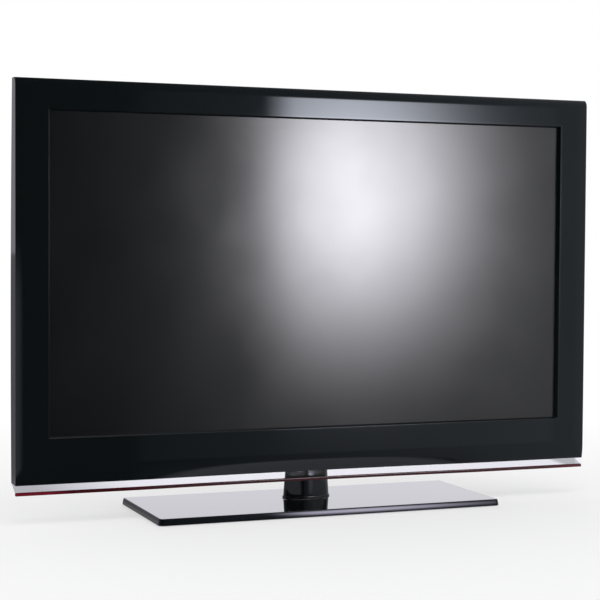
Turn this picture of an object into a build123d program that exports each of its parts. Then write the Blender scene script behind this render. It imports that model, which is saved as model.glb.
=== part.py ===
from build123d import *
from math import asin, atan, cos, degrees
import os

# A 40 inch LCD television on a swivel stand, in millimetres.
# X runs to the viewer's right, Y towards the back, Z up. The origin lies on the table,
# under the middle of the whole object. A depth is measured back from the bezel's face.

# Screen opening and front bezel
opening_width = 890.0
opening_height = 503.0
opening_depth = 8.0
opening_slope = 2.0
side_border = 51.5
top_border = 46.7
bottom_border = 71.0
bezel_wall = 2.8
lip_wall = 2.5
top_roll_depth = 11.0
top_roll_height = 16.0
bottom_roll_radius = 46.0
bottom_roll_height = 30.4
side_roll_width = 20.0
side_roll_depth = 1.6
side_depth_top = 27.0
side_depth_middle = 38.6
side_depth_bottom = 32.0

# Trim under the bezel
clear_height = 11.0
clear_foot = 5.5
red_height = 5.0
trim_inset = 0.5
trim_end_inset = 1.2
trim_peg_radius = 2.0
trim_peg_height = 5.0
trim_peg_setback = 5.5
trim_peg_spacing = 150.0
trim_peg_end_gap = 25.0

# Base and stand
base_width = 585.0
base_depth = 223.0
base_thickness = 12.0
base_flare = 2.4
base_wall = 2.5
base_corner = 8.0
base_edge = 2.6
base_ground_gap = 1.5
plate_thickness = 3.0
plate_inset = 8.0
plate_recess = 2.5
plate_corner = 4.0
foot_radius = 10.0
foot_chamfer = 0.6
neck_setback = 22.5
stand_gap = 33.5
neck_depth = 57.0
neck_half_width = 40.0
neck_half_depth = 17.5
neck_top_half_width = 37.0
neck_top_half_depth = 15.0
neck_wall = 2.5
neck_taper_height = 45.0
neck_cover_rise = 56.5
neck_foot_inset = 4.0
neck_foot_height = 4.0
collar_lip = 1.5
collar_height = 2.5

# Clearances
static_gap = 0.3
moving_gap = 0.4
running_gap = 0.05
key_gap = 0.35
shell_gap = 0.4
screw_gap = 0.1
over = 1.0

# Places that follow from the sizes above
bezel_width = opening_width + 2 * side_border
bezel_bottom_z = base_thickness + stand_gap + red_height + clear_height
screen_z = bezel_bottom_z + bottom_border + opening_height / 2
bezel_top_z = screen_z + opening_height / 2 + top_border
middle_z = (bezel_bottom_z + bezel_top_z) / 2
face_y = neck_setback - neck_depth
half_width = bezel_width / 2
trim_pegs_each_side = int((half_width - trim_peg_end_gap) / trim_peg_spacing)
trim_peg_count = 2 * trim_pegs_each_side + 1


def at_depth(depth):
    """Plane across the head at a depth behind the bezel's face. It looks at the viewer."""
    return Plane.XZ.offset(-(face_y + depth))


def side_outline(inset, open_depth=0.0):
    """Side profile of the bezel in (Y, Z), drawn in by inset, or open at the back."""
    reach = bottom_roll_radius - inset
    roll_z = bezel_bottom_z + bottom_roll_height
    swing = degrees(asin((bottom_roll_height - inset) / reach))
    top_z = bezel_top_z - inset
    bottom_z = bezel_bottom_z + inset
    front_y = face_y + inset
    with BuildSketch(Plane.YZ) as outline:
        with BuildLine():
            top = EllipticalCenterArc(
                (face_y + top_roll_depth, bezel_top_z - top_roll_height),
                top_roll_depth - inset,
                top_roll_height - inset,
                start_angle=90,
                arc_size=90,
            )
            low = CenterArc((face_y + bottom_roll_radius, roll_z), reach, 180, swing)
            Line((front_y, bezel_top_z - top_roll_height), (front_y, roll_z))
            if open_depth:
                Polyline(
                    low @ 1,
                    (face_y + open_depth, bottom_z),
                    (face_y + open_depth, top_z),
                    top @ 0,
                )
            else:
                Line(low @ 1, (face_y + side_depth_bottom, bottom_z))
                ThreePointArc(
                    (face_y + side_depth_bottom, bottom_z),
                    (face_y + side_depth_middle, middle_z),
                    (face_y + side_depth_top, top_z),
                )
                Line((face_y + side_depth_top, top_z), top @ 0)
        make_face()
    return outline.sketch


# Rear cover stations: a straight rim inside the bezel, then two sloping steps
rim_front = 21.0
rim_back = 40.0
shoulder_depth = 58.0
back_depth = 79.0
shoulder_inset = 20.0
back_inset = 60.0
cover_wall = 2.5
cover_corner = 4.0
shoulder_corner = 12.0
back_corner = 24.0
cover_width = bezel_width - 2 * (bezel_wall + shell_gap)
cover_height = bezel_top_z - bezel_bottom_z - 2 * (bezel_wall + shell_gap)

# Screws that hold the rear cover to bosses in the bezel
boss_radius = 4.0
boss_hole = 1.6
boss_start = 1.5
boss_end = 22.0
well_radius = 6.0
well_bore = 4.3
well_floor = 2.5
screw_radius = 1.5
screw_length = 12.0
screw_head_radius = 3.6
screw_head_height = 2.4
driver_slot = 0.9
top_screw_inset = 16.2
low_screw_inset = 16.5
top_screw_z = bezel_top_z - top_screw_inset
low_screw_z = bezel_bottom_z + low_screw_inset
side_screw_inset = 18.5
side_screw_x = half_width - side_screw_inset
top_screw_spacing = 200.0
low_screw_x = 445.0
low_screw_inner_x = 150.0
side_screw_rise = 156.0
side_screw_drop = 234.0
cover_screw_spots = (
    [(i * top_screw_spacing, top_screw_z) for i in (-2, -1, 0, 1, 2)]
    + [(side * x, low_screw_z) for side in (-1, 1) for x in (low_screw_x, low_screw_inner_x)]
    + [(side * side_screw_x, screen_z + side_screw_rise) for side in (-1, 1)]
    + [(side * side_screw_x, screen_z - side_screw_drop) for side in (-1, 1)]
)
low_boss_start = 4.8

# Clamps that hold the panel module to the bezel
clamp_boss_inset = 28.5
clamp_boss_x = half_width - clamp_boss_inset
clamp_boss_end = 21.0
clamp_rise = 206.0
clamp_drop = 194.0
clamp_spots = [(side, screen_z + rise) for side in (-1, 1) for rise in (clamp_rise, -clamp_drop)]
clamp_width = 22.0
clamp_sheet = 1.2
clamp_foot = 12.0

# Panel module, stacked behind the lip of the opening
frame_sheet = 1.0
frame_margin = 16.0
frame_lap = 1.5
frame_skirt = 11.7
module_gap = 0.2
mould_wall = 3.0
mould_gap = 1.0
mould_ledge = 3.8
mould_skirt = 7.5
mould_window_lap = 5.0
cell_margin = 5.5
cell_thickness = 2.0
sheet_count = 3
sheet_thickness = 0.3
sheet_spacing = 0.5
diffuser_thickness = 2.0
diffuser_margin = 5.0
tray_sheet = 1.2
tray_depth = 15.6
tray_margin = 9.0
tray_rim = 8.0
lamp_count = 16
lamp_radius = 2.0
lamp_margin = 26.0
lamp_end_gap = 9.5
lamp_floor_gap = 6.8
holder_width = 18.0
holder_depth = 12.4
reflector_thickness = 0.4

seen_width = opening_width - 2 * opening_slope
seen_height = opening_height - 2 * opening_slope
frame_width = seen_width + 2 * frame_margin
frame_height = seen_height + 2 * frame_margin
mould_width = frame_width - 2 * (frame_sheet + mould_gap)
mould_height = frame_height - 2 * (frame_sheet + mould_gap)
cell_width = mould_width - 2 * cell_margin
cell_height = mould_height - 2 * cell_margin
diffuser_width = mould_width - 2 * diffuser_margin
diffuser_height = mould_height - 2 * diffuser_margin
tray_width = mould_width - 2 * tray_margin
tray_height = mould_height - 2 * tray_margin
lamp_spacing = (tray_height - 2 * lamp_margin) / (lamp_count - 1)
frame_front = opening_depth + static_gap
cell_front = frame_front + frame_sheet + module_gap
mould_front = cell_front + cell_thickness + module_gap
sheets_front = mould_front + mould_ledge + module_gap
diffuser_front = sheets_front + sheet_count * sheet_spacing
tray_front = mould_front + mould_skirt + module_gap
tray_back = tray_front + tray_depth
lamp_depth = tray_back - tray_sheet - lamp_floor_gap

# Boards on the back of the tray, each as its centre, width and height
standoff_height = 6.0
standoff_radius = 3.0
board_thickness = 1.6
board_corner = 2.0
board_front = tray_back + standoff_height
board_back = board_front + board_thickness
standoff_inset = 8.0
board_gap = 8.0
bay_rise = 116.5
bay_z = bezel_bottom_z + bay_rise
power_board_x = -237.0
power_board_rise = 46.0
power_board_width = 215.0
power_board_height = 260.0
inverter_rise = 6.0
inverter_width = 46.0
inverter_height = 400.0
main_board_left = 124.0
main_board_rise = 60.0
main_board_height = 186.0
timing_board_x = 60.0
timing_board_rise = 166.0
timing_board_width = 200.0
timing_board_height = 80.0
inverter_left = tray_width / 2 - board_gap - inverter_width
main_board_right = inverter_left - board_gap
power_board = (
    power_board_x,
    screen_z + power_board_rise,
    power_board_width,
    power_board_height,
)
inverter_board = (
    inverter_left + inverter_width / 2,
    screen_z + inverter_rise,
    inverter_width,
    inverter_height,
)
main_board = (
    (main_board_left + main_board_right) / 2,
    bay_z + main_board_rise,
    main_board_right - main_board_left,
    main_board_height,
)
timing_board = (
    timing_board_x,
    screen_z + timing_board_rise,
    timing_board_width,
    timing_board_height,
)
boards = [power_board, inverter_board, main_board, timing_board]

# Wall mount, and the screws that hold the stand
wall_mount_spacing = 200.0
wall_mount_thread = 3.0
wall_mount_post = 9.0
wall_mount_blind = 8.0
wall_mount_clearance = 4.5
bracket_sheet = 2.0
bracket_half_width = 40.0
bracket_flange = 45.0
bracket_rise = 62.5
bracket_height = 108.0
bracket_bottom_z = bezel_bottom_z + bracket_rise
bracket_top_z = bracket_bottom_z + bracket_height
stand_screw_x = 12.0
stand_screw_low_inset = 28.0
stand_screw_high_inset = 24.0
stand_screw_low_z = bracket_bottom_z + stand_screw_low_inset
stand_screw_high_z = bracket_top_z - stand_screw_high_inset
stand_screw_spots = [
    (side * stand_screw_x, z) for side in (-1, 1) for z in (stand_screw_low_z, stand_screw_high_z)
]
stand_screw_radius = 2.5
stand_screw_head = 5.0
stand_screw_head_height = 3.0
stand_access_radius = 7.0
core_width = 44.0
core_depth = 16.0
core_wall = 2.5

# Connector bay in the back, and the sockets in it
bay_left_margin = 4.0
bay_right_margin = 14.0
bay_left = main_board_left - bay_left_margin
bay_right = main_board_right + bay_right_margin
bay_x = (bay_left + bay_right) / 2
bay_width = bay_right - bay_left
bay_height = 76.0
bay_floor = 59.6
connector_sheet = 1.2
connector_front = bay_floor - connector_sheet
socket_clearance = 0.3
upper_row_rise = 19.0
lower_row_drop = 15.0
first_socket_inset = 30.0
upper_row_z = bay_z + upper_row_rise
lower_row_z = bay_z - lower_row_drop
first_socket_x = bay_left + first_socket_inset
hdmi_count = 3
hdmi_spacing = 36.0
hdmi_width = 15.4
hdmi_height = 6.2
hdmi_wall = 0.7
hdmi_tongue = 1.2
hdmi_tongue_margin = 5.0
hdmi_tongue_recess = 4.6
hdmi_mouth = 63.0
hdmi_cavity = 10.0
hdmi_spots = [(first_socket_x + hdmi_spacing * i, upper_row_z) for i in range(hdmi_count)]
phono_count = 5
phono_spacing = 24.0
phono_radius = 4.15
phono_bore = 1.6
phono_bore_length = 10.0
phono_mouth = 68.0
phono_block = 13.0
phono_spots = [(first_socket_x + phono_spacing * i, lower_row_z) for i in range(phono_count)]
pc_inset = 158.0
pc_spot = (bay_left + pc_inset, upper_row_z)
pc_width = 17.0
pc_height = 8.4
pc_reach = 5.5
pc_mouth = bay_floor + pc_reach
pc_corner = 1.5
pc_contact = 0.5
pc_contact_spacing = 2.2
pc_contact_depth = 4.0
aerial_inset = 34.0
aerial_rise = 2.0
aerial_spot = (bay_right - aerial_inset, bay_z + aerial_rise)
aerial_radius = 4.7
aerial_mouth = 71.0
tuner_width = 28.0
tuner_height = 46.0
tuner_depth = 12.0

# Mains inlet in its own recess
inlet_x = -308.0
inlet_rise = 98.5
inlet_z = bezel_bottom_z + inlet_rise
inlet_bay_width = 50.0
inlet_bay_height = 40.0
inlet_bay_floor = 62.0
inlet_flange_width = 42.0
inlet_flange_height = 27.0
inlet_flange_sheet = 2.0
inlet_corner = 3.0
inlet_body_width = 28.0
inlet_body_height = 20.0
inlet_body_depth = 19.0
inlet_body_gap = 0.3
inlet_cavity_width = 24.4
inlet_cavity_height = 16.4
inlet_cavity_depth = 15.0
blade_length = 10.0
blade_width = 2.0
blade_height = 4.0
blade_spread = 7.0
blade_rise = 2.0

# Key pod on the side of the rear cover
pod_face_inset = 7.5
pod_root_inset = 44.5
pod_face_x = half_width - pod_face_inset
pod_root_x = half_width - pod_root_inset
pod_back = 64.0
pod_drop = 204.0
pod_rise = 48.0
pod_bottom_z = screen_z - pod_drop
pod_top_z = screen_z + pod_rise
pod_wall = 2.5
side_board_setback = 13.4
side_board_x = pod_face_x - side_board_setback
side_board_sheet = 1.6
side_board_front = 44.5
side_board_back = 61.0
side_board_end_gap = 5.0
side_post_radius = 3.0
key_depth = 54.0
key_width = 8.0
key_height = 11.0
key_spacing = 19.0
key_drop = 100.0
key_low_z = screen_z - key_drop
key_proud = 1.5
key_travel = 0.5
key_flange = 1.2
key_flange_sheet = 1.8
key_stem = 2.2
key_edge = 0.6
switch_size = 6.0
switch_body = 4.3
switch_plunger = 1.0
switch_plunger_radius = 1.7
key_names = [
    "power_button",
    "source_button",
    "menu_button",
    "volume_down_button",
    "volume_up_button",
    "channel_down_button",
    "channel_up_button",
]
usb_rise = 26.0
usb_z = pod_bottom_z + usb_rise
usb_long = 13.4
usb_short = 6.2
usb_wall = 0.6
usb_sunk = 0.5
usb_cavity = 9.0
usb_tongue = 1.6
usb_tongue_recess = 4.6
phones_rise = 60.0
phones_z = pod_bottom_z + phones_rise
phones_radius = 4.0
phones_block_depth = 9.0
phones_block_height = 10.0
phones_bore = 1.8
phones_bore_length = 12.0
phones_proud = 0.5

# Air slots
slot_width = 3.2
slot_height = 34.0
slot_spacing = 13.0
top_slot_count = 49
top_slot_drop = 92.2
top_slot_z = bezel_top_z - top_slot_drop
low_slot_count = 14
low_slot_x = 245.0
low_slot_rise = 64.0
low_slot_z = bay_z + low_slot_rise

# Speakers and sensor board
speaker_x = 300.0
speaker_width = 236.0
speaker_height = 50.0
speaker_front = 22.0
speaker_depth = 17.0
speaker_corner = 3.0
grille_count = 24
grille_spacing = 8.0
grille_length = 6.0
grille_slot = 2.4
grille_setback = 4.5
magnet_radius = 13.0
magnet_depth = 9.0
magnet_spacing = 120.0
magnet_drop = 6.0
sensor_x = 232.0
sensor_rise = 46.5
sensor_z = bezel_bottom_z + sensor_rise
sensor_width = 60.0
sensor_height = 14.0
sensor_sheet = 1.2


def save(builder, name):
    """Label a finished piece and write it under its name."""
    builder.part.label = name
    export_step(builder.part, f"parts/{name}.step")


os.makedirs("parts", exist_ok=True)

# Front bezel: the hollow behind its face, less the bosses and the lip of the opening
hollow_depth = rim_back + 20.0
slope_angle = degrees(atan(opening_slope / opening_depth))
with BuildPart() as bezel_hollow:
    extrude(side_outline(bezel_wall, hollow_depth), amount=half_width - bezel_wall, both=True)
    with BuildSketch(Plane.XY.offset(bezel_bottom_z - over)):
        with BuildLine():
            Polyline(
                (bezel_wall - half_width, face_y + hollow_depth + over),
                (bezel_wall - half_width, face_y + bezel_wall + side_roll_depth),
                (side_roll_width - half_width, face_y + bezel_wall),
                (half_width - side_roll_width, face_y + bezel_wall),
                (half_width - bezel_wall, face_y + bezel_wall + side_roll_depth),
                (half_width - bezel_wall, face_y + hollow_depth + over),
                close=True,
            )
        make_face()
    extrude(amount=bezel_top_z - bezel_bottom_z + 2 * over, mode=Mode.INTERSECT)
    with BuildSketch(at_depth(0)):
        with Locations((0, screen_z)):
            Rectangle(opening_width + 2 * lip_wall, opening_height + 2 * lip_wall)
    extrude(amount=-opening_depth, mode=Mode.SUBTRACT)
    with BuildSketch(at_depth(boss_start)):
        with Locations([spot for spot in cover_screw_spots if spot[1] != low_screw_z]):
            Circle(boss_radius)
    extrude(amount=boss_start - boss_end, mode=Mode.SUBTRACT)
    with BuildSketch(at_depth(low_boss_start)):
        with Locations([spot for spot in cover_screw_spots if spot[1] == low_screw_z]):
            Circle(boss_radius)
    extrude(amount=low_boss_start - boss_end, mode=Mode.SUBTRACT)
    with BuildSketch(at_depth(boss_start)):
        with Locations([(side * clamp_boss_x, z) for side, z in clamp_spots]):
            Circle(boss_radius)
    extrude(amount=boss_start - clamp_boss_end, mode=Mode.SUBTRACT)

trim_front = bottom_roll_radius * (1 - cos(asin(bottom_roll_height / bottom_roll_radius)))
peg_depth = trim_front + trim_peg_setback
roll_radius = (side_roll_width**2 + side_roll_depth**2) / (2 * side_roll_depth)
roll_swing = degrees(asin(side_roll_width / roll_radius))
roll_x = half_width - side_roll_width
with BuildPart() as front_bezel:
    extrude(side_outline(0), amount=half_width, both=True)
    with BuildSketch(Plane.XY.offset(bezel_bottom_z - over)):
        with BuildLine():
            right = CenterArc((roll_x, face_y + roll_radius), roll_radius, 270, roll_swing)
            left = CenterArc((-roll_x, face_y + roll_radius), roll_radius, 270, -roll_swing)
            Line(left @ 0, right @ 0)
            Polyline(
                right @ 1,
                (half_width, face_y + hollow_depth),
                (-half_width, face_y + hollow_depth),
                left @ 1,
            )
        make_face()
    extrude(amount=bezel_top_z - bezel_bottom_z + 2 * over, mode=Mode.INTERSECT)
    add(bezel_hollow.part, mode=Mode.SUBTRACT)
    with BuildSketch(at_depth(-over)):
        with Locations((0, screen_z)):
            Rectangle(
                opening_width + 2 * over * opening_slope / opening_depth,
                opening_height + 2 * over * opening_slope / opening_depth,
            )
    extrude(amount=-(opening_depth + 2 * over), taper=slope_angle, mode=Mode.SUBTRACT)
    with BuildSketch(at_depth(boss_end)):
        with Locations(cover_screw_spots):
            Circle(boss_hole)
    extrude(amount=screw_length, mode=Mode.SUBTRACT)
    with BuildSketch(Plane.XY.offset(bezel_bottom_z - over)):
        with Locations((0, face_y + peg_depth)):
            with GridLocations(trim_peg_spacing, 1, trim_peg_count, 1):
                Circle(trim_peg_radius + 0.1)
    extrude(amount=bezel_wall + 2 * over, mode=Mode.SUBTRACT)
save(front_bezel, "front_bezel")

# Clear trim: a wedge that thins downwards, with pegs up into the bezel
clear_low_z = bezel_bottom_z - clear_height
trim_y = face_y + trim_front + trim_inset
with BuildPart() as clear_trim:
    with BuildSketch(Plane.YZ):
        with BuildLine():
            Polyline(
                (trim_y, bezel_bottom_z),
                (trim_y, clear_low_z),
                (trim_y + clear_foot, clear_low_z),
                (face_y + side_depth_bottom - trim_inset, bezel_bottom_z),
                close=True,
            )
        make_face()
    extrude(amount=half_width - trim_end_inset, both=True)
    with BuildSketch(Plane.XY.offset(bezel_bottom_z - over)):
        with Locations((0, face_y + peg_depth)):
            with GridLocations(trim_peg_spacing, 1, trim_peg_count, 1):
                Circle(trim_peg_radius)
    extrude(amount=trim_peg_height + over)
save(clear_trim, "clear_trim")

# Red trim, bonded under the clear one
with BuildPart() as red_trim:
    with BuildSketch(Plane.YZ):
        with BuildLine():
            Polyline(
                (trim_y, clear_low_z),
                (trim_y, clear_low_z - red_height),
                (trim_y + clear_foot, clear_low_z - red_height),
                (trim_y + clear_foot, clear_low_z),
                close=True,
            )
        make_face()
    extrude(amount=half_width - trim_end_inset, both=True)
    fillet(red_trim.edges().filter_by(Axis.X).group_by(Axis.Z)[0], radius=red_height / 5)
save(red_trim, "red_trim")

# Panel module, front to back
with BuildPart() as panel_frame:
    with BuildSketch(at_depth(frame_front)):
        with Locations((0, screen_z)):
            Rectangle(frame_width, frame_height)
    extrude(amount=-frame_skirt)
    with BuildSketch(at_depth(frame_front + frame_sheet)):
        with Locations((0, screen_z)):
            Rectangle(frame_width - 2 * frame_sheet, frame_height - 2 * frame_sheet)
    extrude(amount=-frame_skirt, mode=Mode.SUBTRACT)
    with BuildSketch(at_depth(frame_front - over)):
        with Locations((0, screen_z)):
            Rectangle(
                seen_width + 2 * frame_lap,
                seen_height + 2 * frame_lap,
            )
    extrude(amount=-4 * over, mode=Mode.SUBTRACT)
save(panel_frame, "panel_frame")

with BuildPart() as lcd_cell:
    with BuildSketch(at_depth(cell_front)):
        with Locations((0, screen_z)):
            Rectangle(cell_width, cell_height)
    extrude(amount=-cell_thickness)
save(lcd_cell, "lcd_cell")

with BuildPart() as mould_frame:
    with BuildSketch(at_depth(mould_front)):
        with Locations((0, screen_z)):
            Rectangle(mould_width, mould_height)
            Rectangle(
                cell_width - 2 * mould_window_lap,
                cell_height - 2 * mould_window_lap,
                mode=Mode.SUBTRACT,
            )
    extrude(amount=-mould_ledge)
    with BuildSketch(at_depth(mould_front + mould_ledge)):
        with Locations((0, screen_z)):
            Rectangle(mould_width, mould_height)
            Rectangle(
                mould_width - 2 * mould_wall, mould_height - 2 * mould_wall, mode=Mode.SUBTRACT
            )
    extrude(amount=mould_ledge - mould_skirt)
save(mould_frame, "mould_frame")

with BuildPart() as optical_sheets:
    for i in range(sheet_count):
        with BuildSketch(at_depth(sheets_front + i * sheet_spacing)):
            with Locations((0, screen_z)):
                Rectangle(diffuser_width, diffuser_height)
        extrude(amount=-sheet_thickness)
save(optical_sheets, "optical_sheets")

with BuildPart() as diffuser_plate:
    with BuildSketch(at_depth(diffuser_front)):
        with Locations((0, screen_z)):
            Rectangle(diffuser_width, diffuser_height)
    extrude(amount=-diffuser_thickness)
save(diffuser_plate, "diffuser_plate")

with BuildPart() as backlight_tray:
    with BuildSketch(at_depth(tray_front)):
        with Locations((0, screen_z)):
            Rectangle(tray_width + 2 * tray_rim, tray_height + 2 * tray_rim)
    extrude(amount=-tray_sheet)
    with BuildSketch(at_depth(tray_front)):
        with Locations((0, screen_z)):
            Rectangle(tray_width, tray_height)
    extrude(amount=-tray_depth)
    with BuildSketch(at_depth(tray_front - over)):
        with Locations((0, screen_z)):
            Rectangle(tray_width - 2 * tray_sheet, tray_height - 2 * tray_sheet)
    extrude(amount=tray_sheet - tray_depth - over, mode=Mode.SUBTRACT)
save(backlight_tray, "backlight_tray")

holder_x = tray_width / 2 - tray_sheet - static_gap - holder_width / 2
holder_front = tray_back - tray_sheet - static_gap - holder_depth
lamp_reach = holder_x + holder_width / 2 - lamp_end_gap
with BuildPart() as lamp_holders:
    with BuildSketch(at_depth(holder_front)):
        with Locations((-holder_x, screen_z), (holder_x, screen_z)):
            Rectangle(holder_width, tray_height - 2 * (tray_sheet + static_gap))
    extrude(amount=-holder_depth)
    with BuildSketch(Plane.YZ):
        with Locations((face_y + lamp_depth, screen_z)):
            with GridLocations(1, lamp_spacing, 1, lamp_count):
                Circle(lamp_radius + module_gap)
    extrude(amount=lamp_reach + static_gap, both=True, mode=Mode.SUBTRACT)
save(lamp_holders, "lamp_holders")

with BuildPart() as lamp_tubes:
    with BuildSketch(Plane.YZ):
        with Locations((face_y + lamp_depth, screen_z)):
            with GridLocations(1, lamp_spacing, 1, lamp_count):
                Circle(lamp_radius)
    extrude(amount=lamp_reach, both=True)
save(lamp_tubes, "lamp_tubes")

with BuildPart() as reflector_sheet:
    with BuildSketch(at_depth(tray_back - tray_sheet - module_gap - reflector_thickness)):
        with Locations((0, screen_z)):
            Rectangle(
                2 * (holder_x - holder_width / 2 - static_gap),
                tray_height - 2 * (tray_sheet + static_gap),
            )
    extrude(amount=-reflector_thickness)
save(reflector_sheet, "reflector_sheet")

driver_board_width = 400.0
driver_board_height = 18.0
driver_board_space = 20.0
driver_board_sheet = 1.2
with BuildPart() as driver_boards:
    with BuildSketch(at_depth(tray_back)):
        with Locations((0, screen_z + tray_height / 2 - driver_board_height)):
            with GridLocations(driver_board_width + driver_board_space, 1, 2, 1):
                Rectangle(driver_board_width, driver_board_height)
    extrude(amount=-driver_board_sheet)
save(driver_boards, "driver_boards")

# Boards, each on four standoffs screwed to the tray
with BuildPart() as board_standoffs:
    for x, z, width, height in boards:
        with BuildSketch(at_depth(tray_back)):
            with Locations((x, z)):
                with GridLocations(width - 2 * standoff_inset, height - 2 * standoff_inset, 2, 2):
                    Circle(standoff_radius)
        extrude(amount=-standoff_height)
save(board_standoffs, "board_standoffs")


def board_sketch(board):
    """Outline of a board: its centre, width and height, and rounded corners."""
    x, z, width, height = board
    with BuildSketch(at_depth(board_front)) as outline:
        with Locations((x, z)):
            RectangleRounded(width, height, board_corner)
    return outline.sketch


for board_name, board in zip(
    ("power_board", "inverter_board", "main_board", "timing_board"), boards
):
    with BuildPart() as circuit_board:
        extrude(board_sketch(board), amount=-board_thickness)
    save(circuit_board, board_name)

shield_wall = 0.8
shield_depth = 8.0
shield_inset = 3.0
shield_rise = 8.0
shield_height = timing_board[3] - 3 * shield_rise
with BuildPart() as timing_shield:
    with BuildSketch(at_depth(board_back)):
        with Locations((timing_board[0], timing_board[1] + shield_rise)):
            Rectangle(timing_board[2] - 2 * shield_inset, shield_height)
    extrude(amount=-shield_depth)
    with BuildSketch(at_depth(board_back - over)):
        with Locations((timing_board[0], timing_board[1] + shield_rise)):
            Rectangle(
                timing_board[2] - 2 * (shield_inset + shield_wall),
                shield_height - 2 * shield_wall,
            )
    extrude(amount=shield_wall - shield_depth - over, mode=Mode.SUBTRACT)
save(timing_shield, "timing_shield")

capacitor_radius = 9.0
capacitor_height = 22.0
capacitor_spacing = 25.0
capacitor_shift = 50.0
capacitor_rise = 60.0
with BuildPart() as capacitors:
    with BuildSketch(at_depth(board_back)):
        with Locations((power_board[0] - capacitor_shift, power_board[1] + capacitor_rise)):
            with GridLocations(capacitor_spacing, capacitor_spacing, 3, 2):
                Circle(capacitor_radius)
    extrude(amount=-capacitor_height)
    fillet(capacitors.edges().filter_by(GeomType.CIRCLE).group_by(Axis.Y)[-1], radius=1.0)
save(capacitors, "capacitors")

transformer_size = 22.0
transformer_height = 14.0
transformer_spacing = 46.0
choke_width = 36.0
choke_height = 40.0
choke_spacing = 52.0
choke_shift = 40.0
choke_drop = 50.0
with BuildPart() as transformers:
    with BuildSketch(at_depth(board_back)):
        with Locations((inverter_board[0], inverter_board[1])):
            with GridLocations(1, transformer_spacing, 1, 8):
                Rectangle(transformer_size, transformer_size)
        with Locations((power_board[0] + choke_shift, power_board[1] - choke_drop)):
            with GridLocations(choke_spacing, 1, 2, 1):
                Rectangle(choke_width, choke_height)
    extrude(amount=-transformer_height)
save(transformers, "transformers")

fin_count = 8
fin_spacing = 5.0
fin_sheet = 1.6
fin_length = 36.0
fin_height = 10.0
sink_base = 2.0
low_sink_shift = 20.0
low_sink_drop = 95.0
high_sink_shift = 60.0
high_sink_rise = 80.0
main_sink_shift = 20.0
main_sink_rise = 62.0
sink_spots = [
    (power_board[0] - low_sink_shift, power_board[1] - low_sink_drop),
    (power_board[0] + high_sink_shift, power_board[1] + high_sink_rise),
    (main_board[0] - main_sink_shift, main_board[1] + main_sink_rise),
]
with BuildPart() as heat_sinks:
    with BuildSketch(at_depth(board_back)):
        with Locations(sink_spots):
            Rectangle(fin_count * fin_spacing, fin_length)
    extrude(amount=-sink_base)
    with BuildSketch(at_depth(board_back + sink_base)):
        with Locations(sink_spots):
            with GridLocations(fin_spacing, 1, fin_count, 1):
                Rectangle(fin_sheet, fin_length)
    extrude(amount=-fin_height)
save(heat_sinks, "heat_sinks")

ribbon_inset = 18.0
ribbon_x = main_board_left + ribbon_inset
ribbon_width = 26.0
ribbon_sheet = 0.4
ribbon_rise = 5.0
ribbon_foot = 5.0
ribbon_slope = 7.0
ribbon_low_lap = 8.0
ribbon_high_lap = 9.0
ribbon_low_z = main_board[1] + main_board[3] / 2 - ribbon_low_lap
ribbon_high_z = timing_board[1] - timing_board[3] / 2 + ribbon_high_lap
ribbon_y = face_y + board_back
ribbon_route = [
    (0.0, ribbon_low_z),
    (0.0, ribbon_low_z + ribbon_foot),
    (ribbon_rise, ribbon_low_z + ribbon_foot + ribbon_slope),
    (ribbon_rise, ribbon_high_z - ribbon_foot - ribbon_slope),
    (0.0, ribbon_high_z - ribbon_foot),
    (0.0, ribbon_high_z),
]
with BuildPart() as signal_ribbon:
    with BuildSketch(Plane.YZ.offset(ribbon_x)):
        with BuildLine():
            Polyline(
                *[(ribbon_y + out, z) for out, z in ribbon_route],
                *[(ribbon_y + out + ribbon_sheet, z) for out, z in reversed(ribbon_route)],
                close=True,
            )
        make_face()
    extrude(amount=ribbon_width / 2, both=True)
save(signal_ribbon, "signal_ribbon")

# Clamps: each lies on the tray's back, runs forward beside it and ends on a bezel boss
clamp_leg_x = tray_width / 2 + static_gap
with BuildPart() as panel_clamps:
    for side, z in clamp_spots:
        with BuildSketch(Plane.XY.offset(z - clamp_width / 2)):
            with BuildLine():
                Polyline(
                    (side * (clamp_leg_x - clamp_foot), face_y + tray_back),
                    (side * (clamp_leg_x - clamp_foot), face_y + tray_back + clamp_sheet),
                    (side * (clamp_leg_x + clamp_sheet), face_y + tray_back + clamp_sheet),
                    (side * (clamp_leg_x + clamp_sheet), face_y + clamp_boss_end + clamp_sheet),
                    (side * (clamp_boss_x + boss_radius), face_y + clamp_boss_end + clamp_sheet),
                    (side * (clamp_boss_x + boss_radius), face_y + clamp_boss_end),
                    (side * clamp_leg_x, face_y + clamp_boss_end),
                    (side * clamp_leg_x, face_y + tray_back),
                    close=True,
                )
            make_face()
        extrude(amount=clamp_width)
save(panel_clamps, "panel_clamps")

# Wall mount posts, from the tray to the inside of the rear cover
post_end = back_depth - cover_wall - static_gap
with BuildPart() as wall_mount_posts:
    with BuildSketch(at_depth(tray_back)):
        with Locations((0, screen_z)):
            with GridLocations(wall_mount_spacing, wall_mount_spacing, 2, 2):
                Circle(wall_mount_post)
    extrude(amount=tray_back - post_end)
    with BuildSketch(at_depth(tray_back + wall_mount_blind)):
        with Locations((0, screen_z)):
            with GridLocations(wall_mount_spacing, wall_mount_spacing, 2, 2):
                Circle(wall_mount_thread)
    extrude(amount=tray_back - post_end, mode=Mode.SUBTRACT)
save(wall_mount_posts, "wall_mount_posts")

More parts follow.
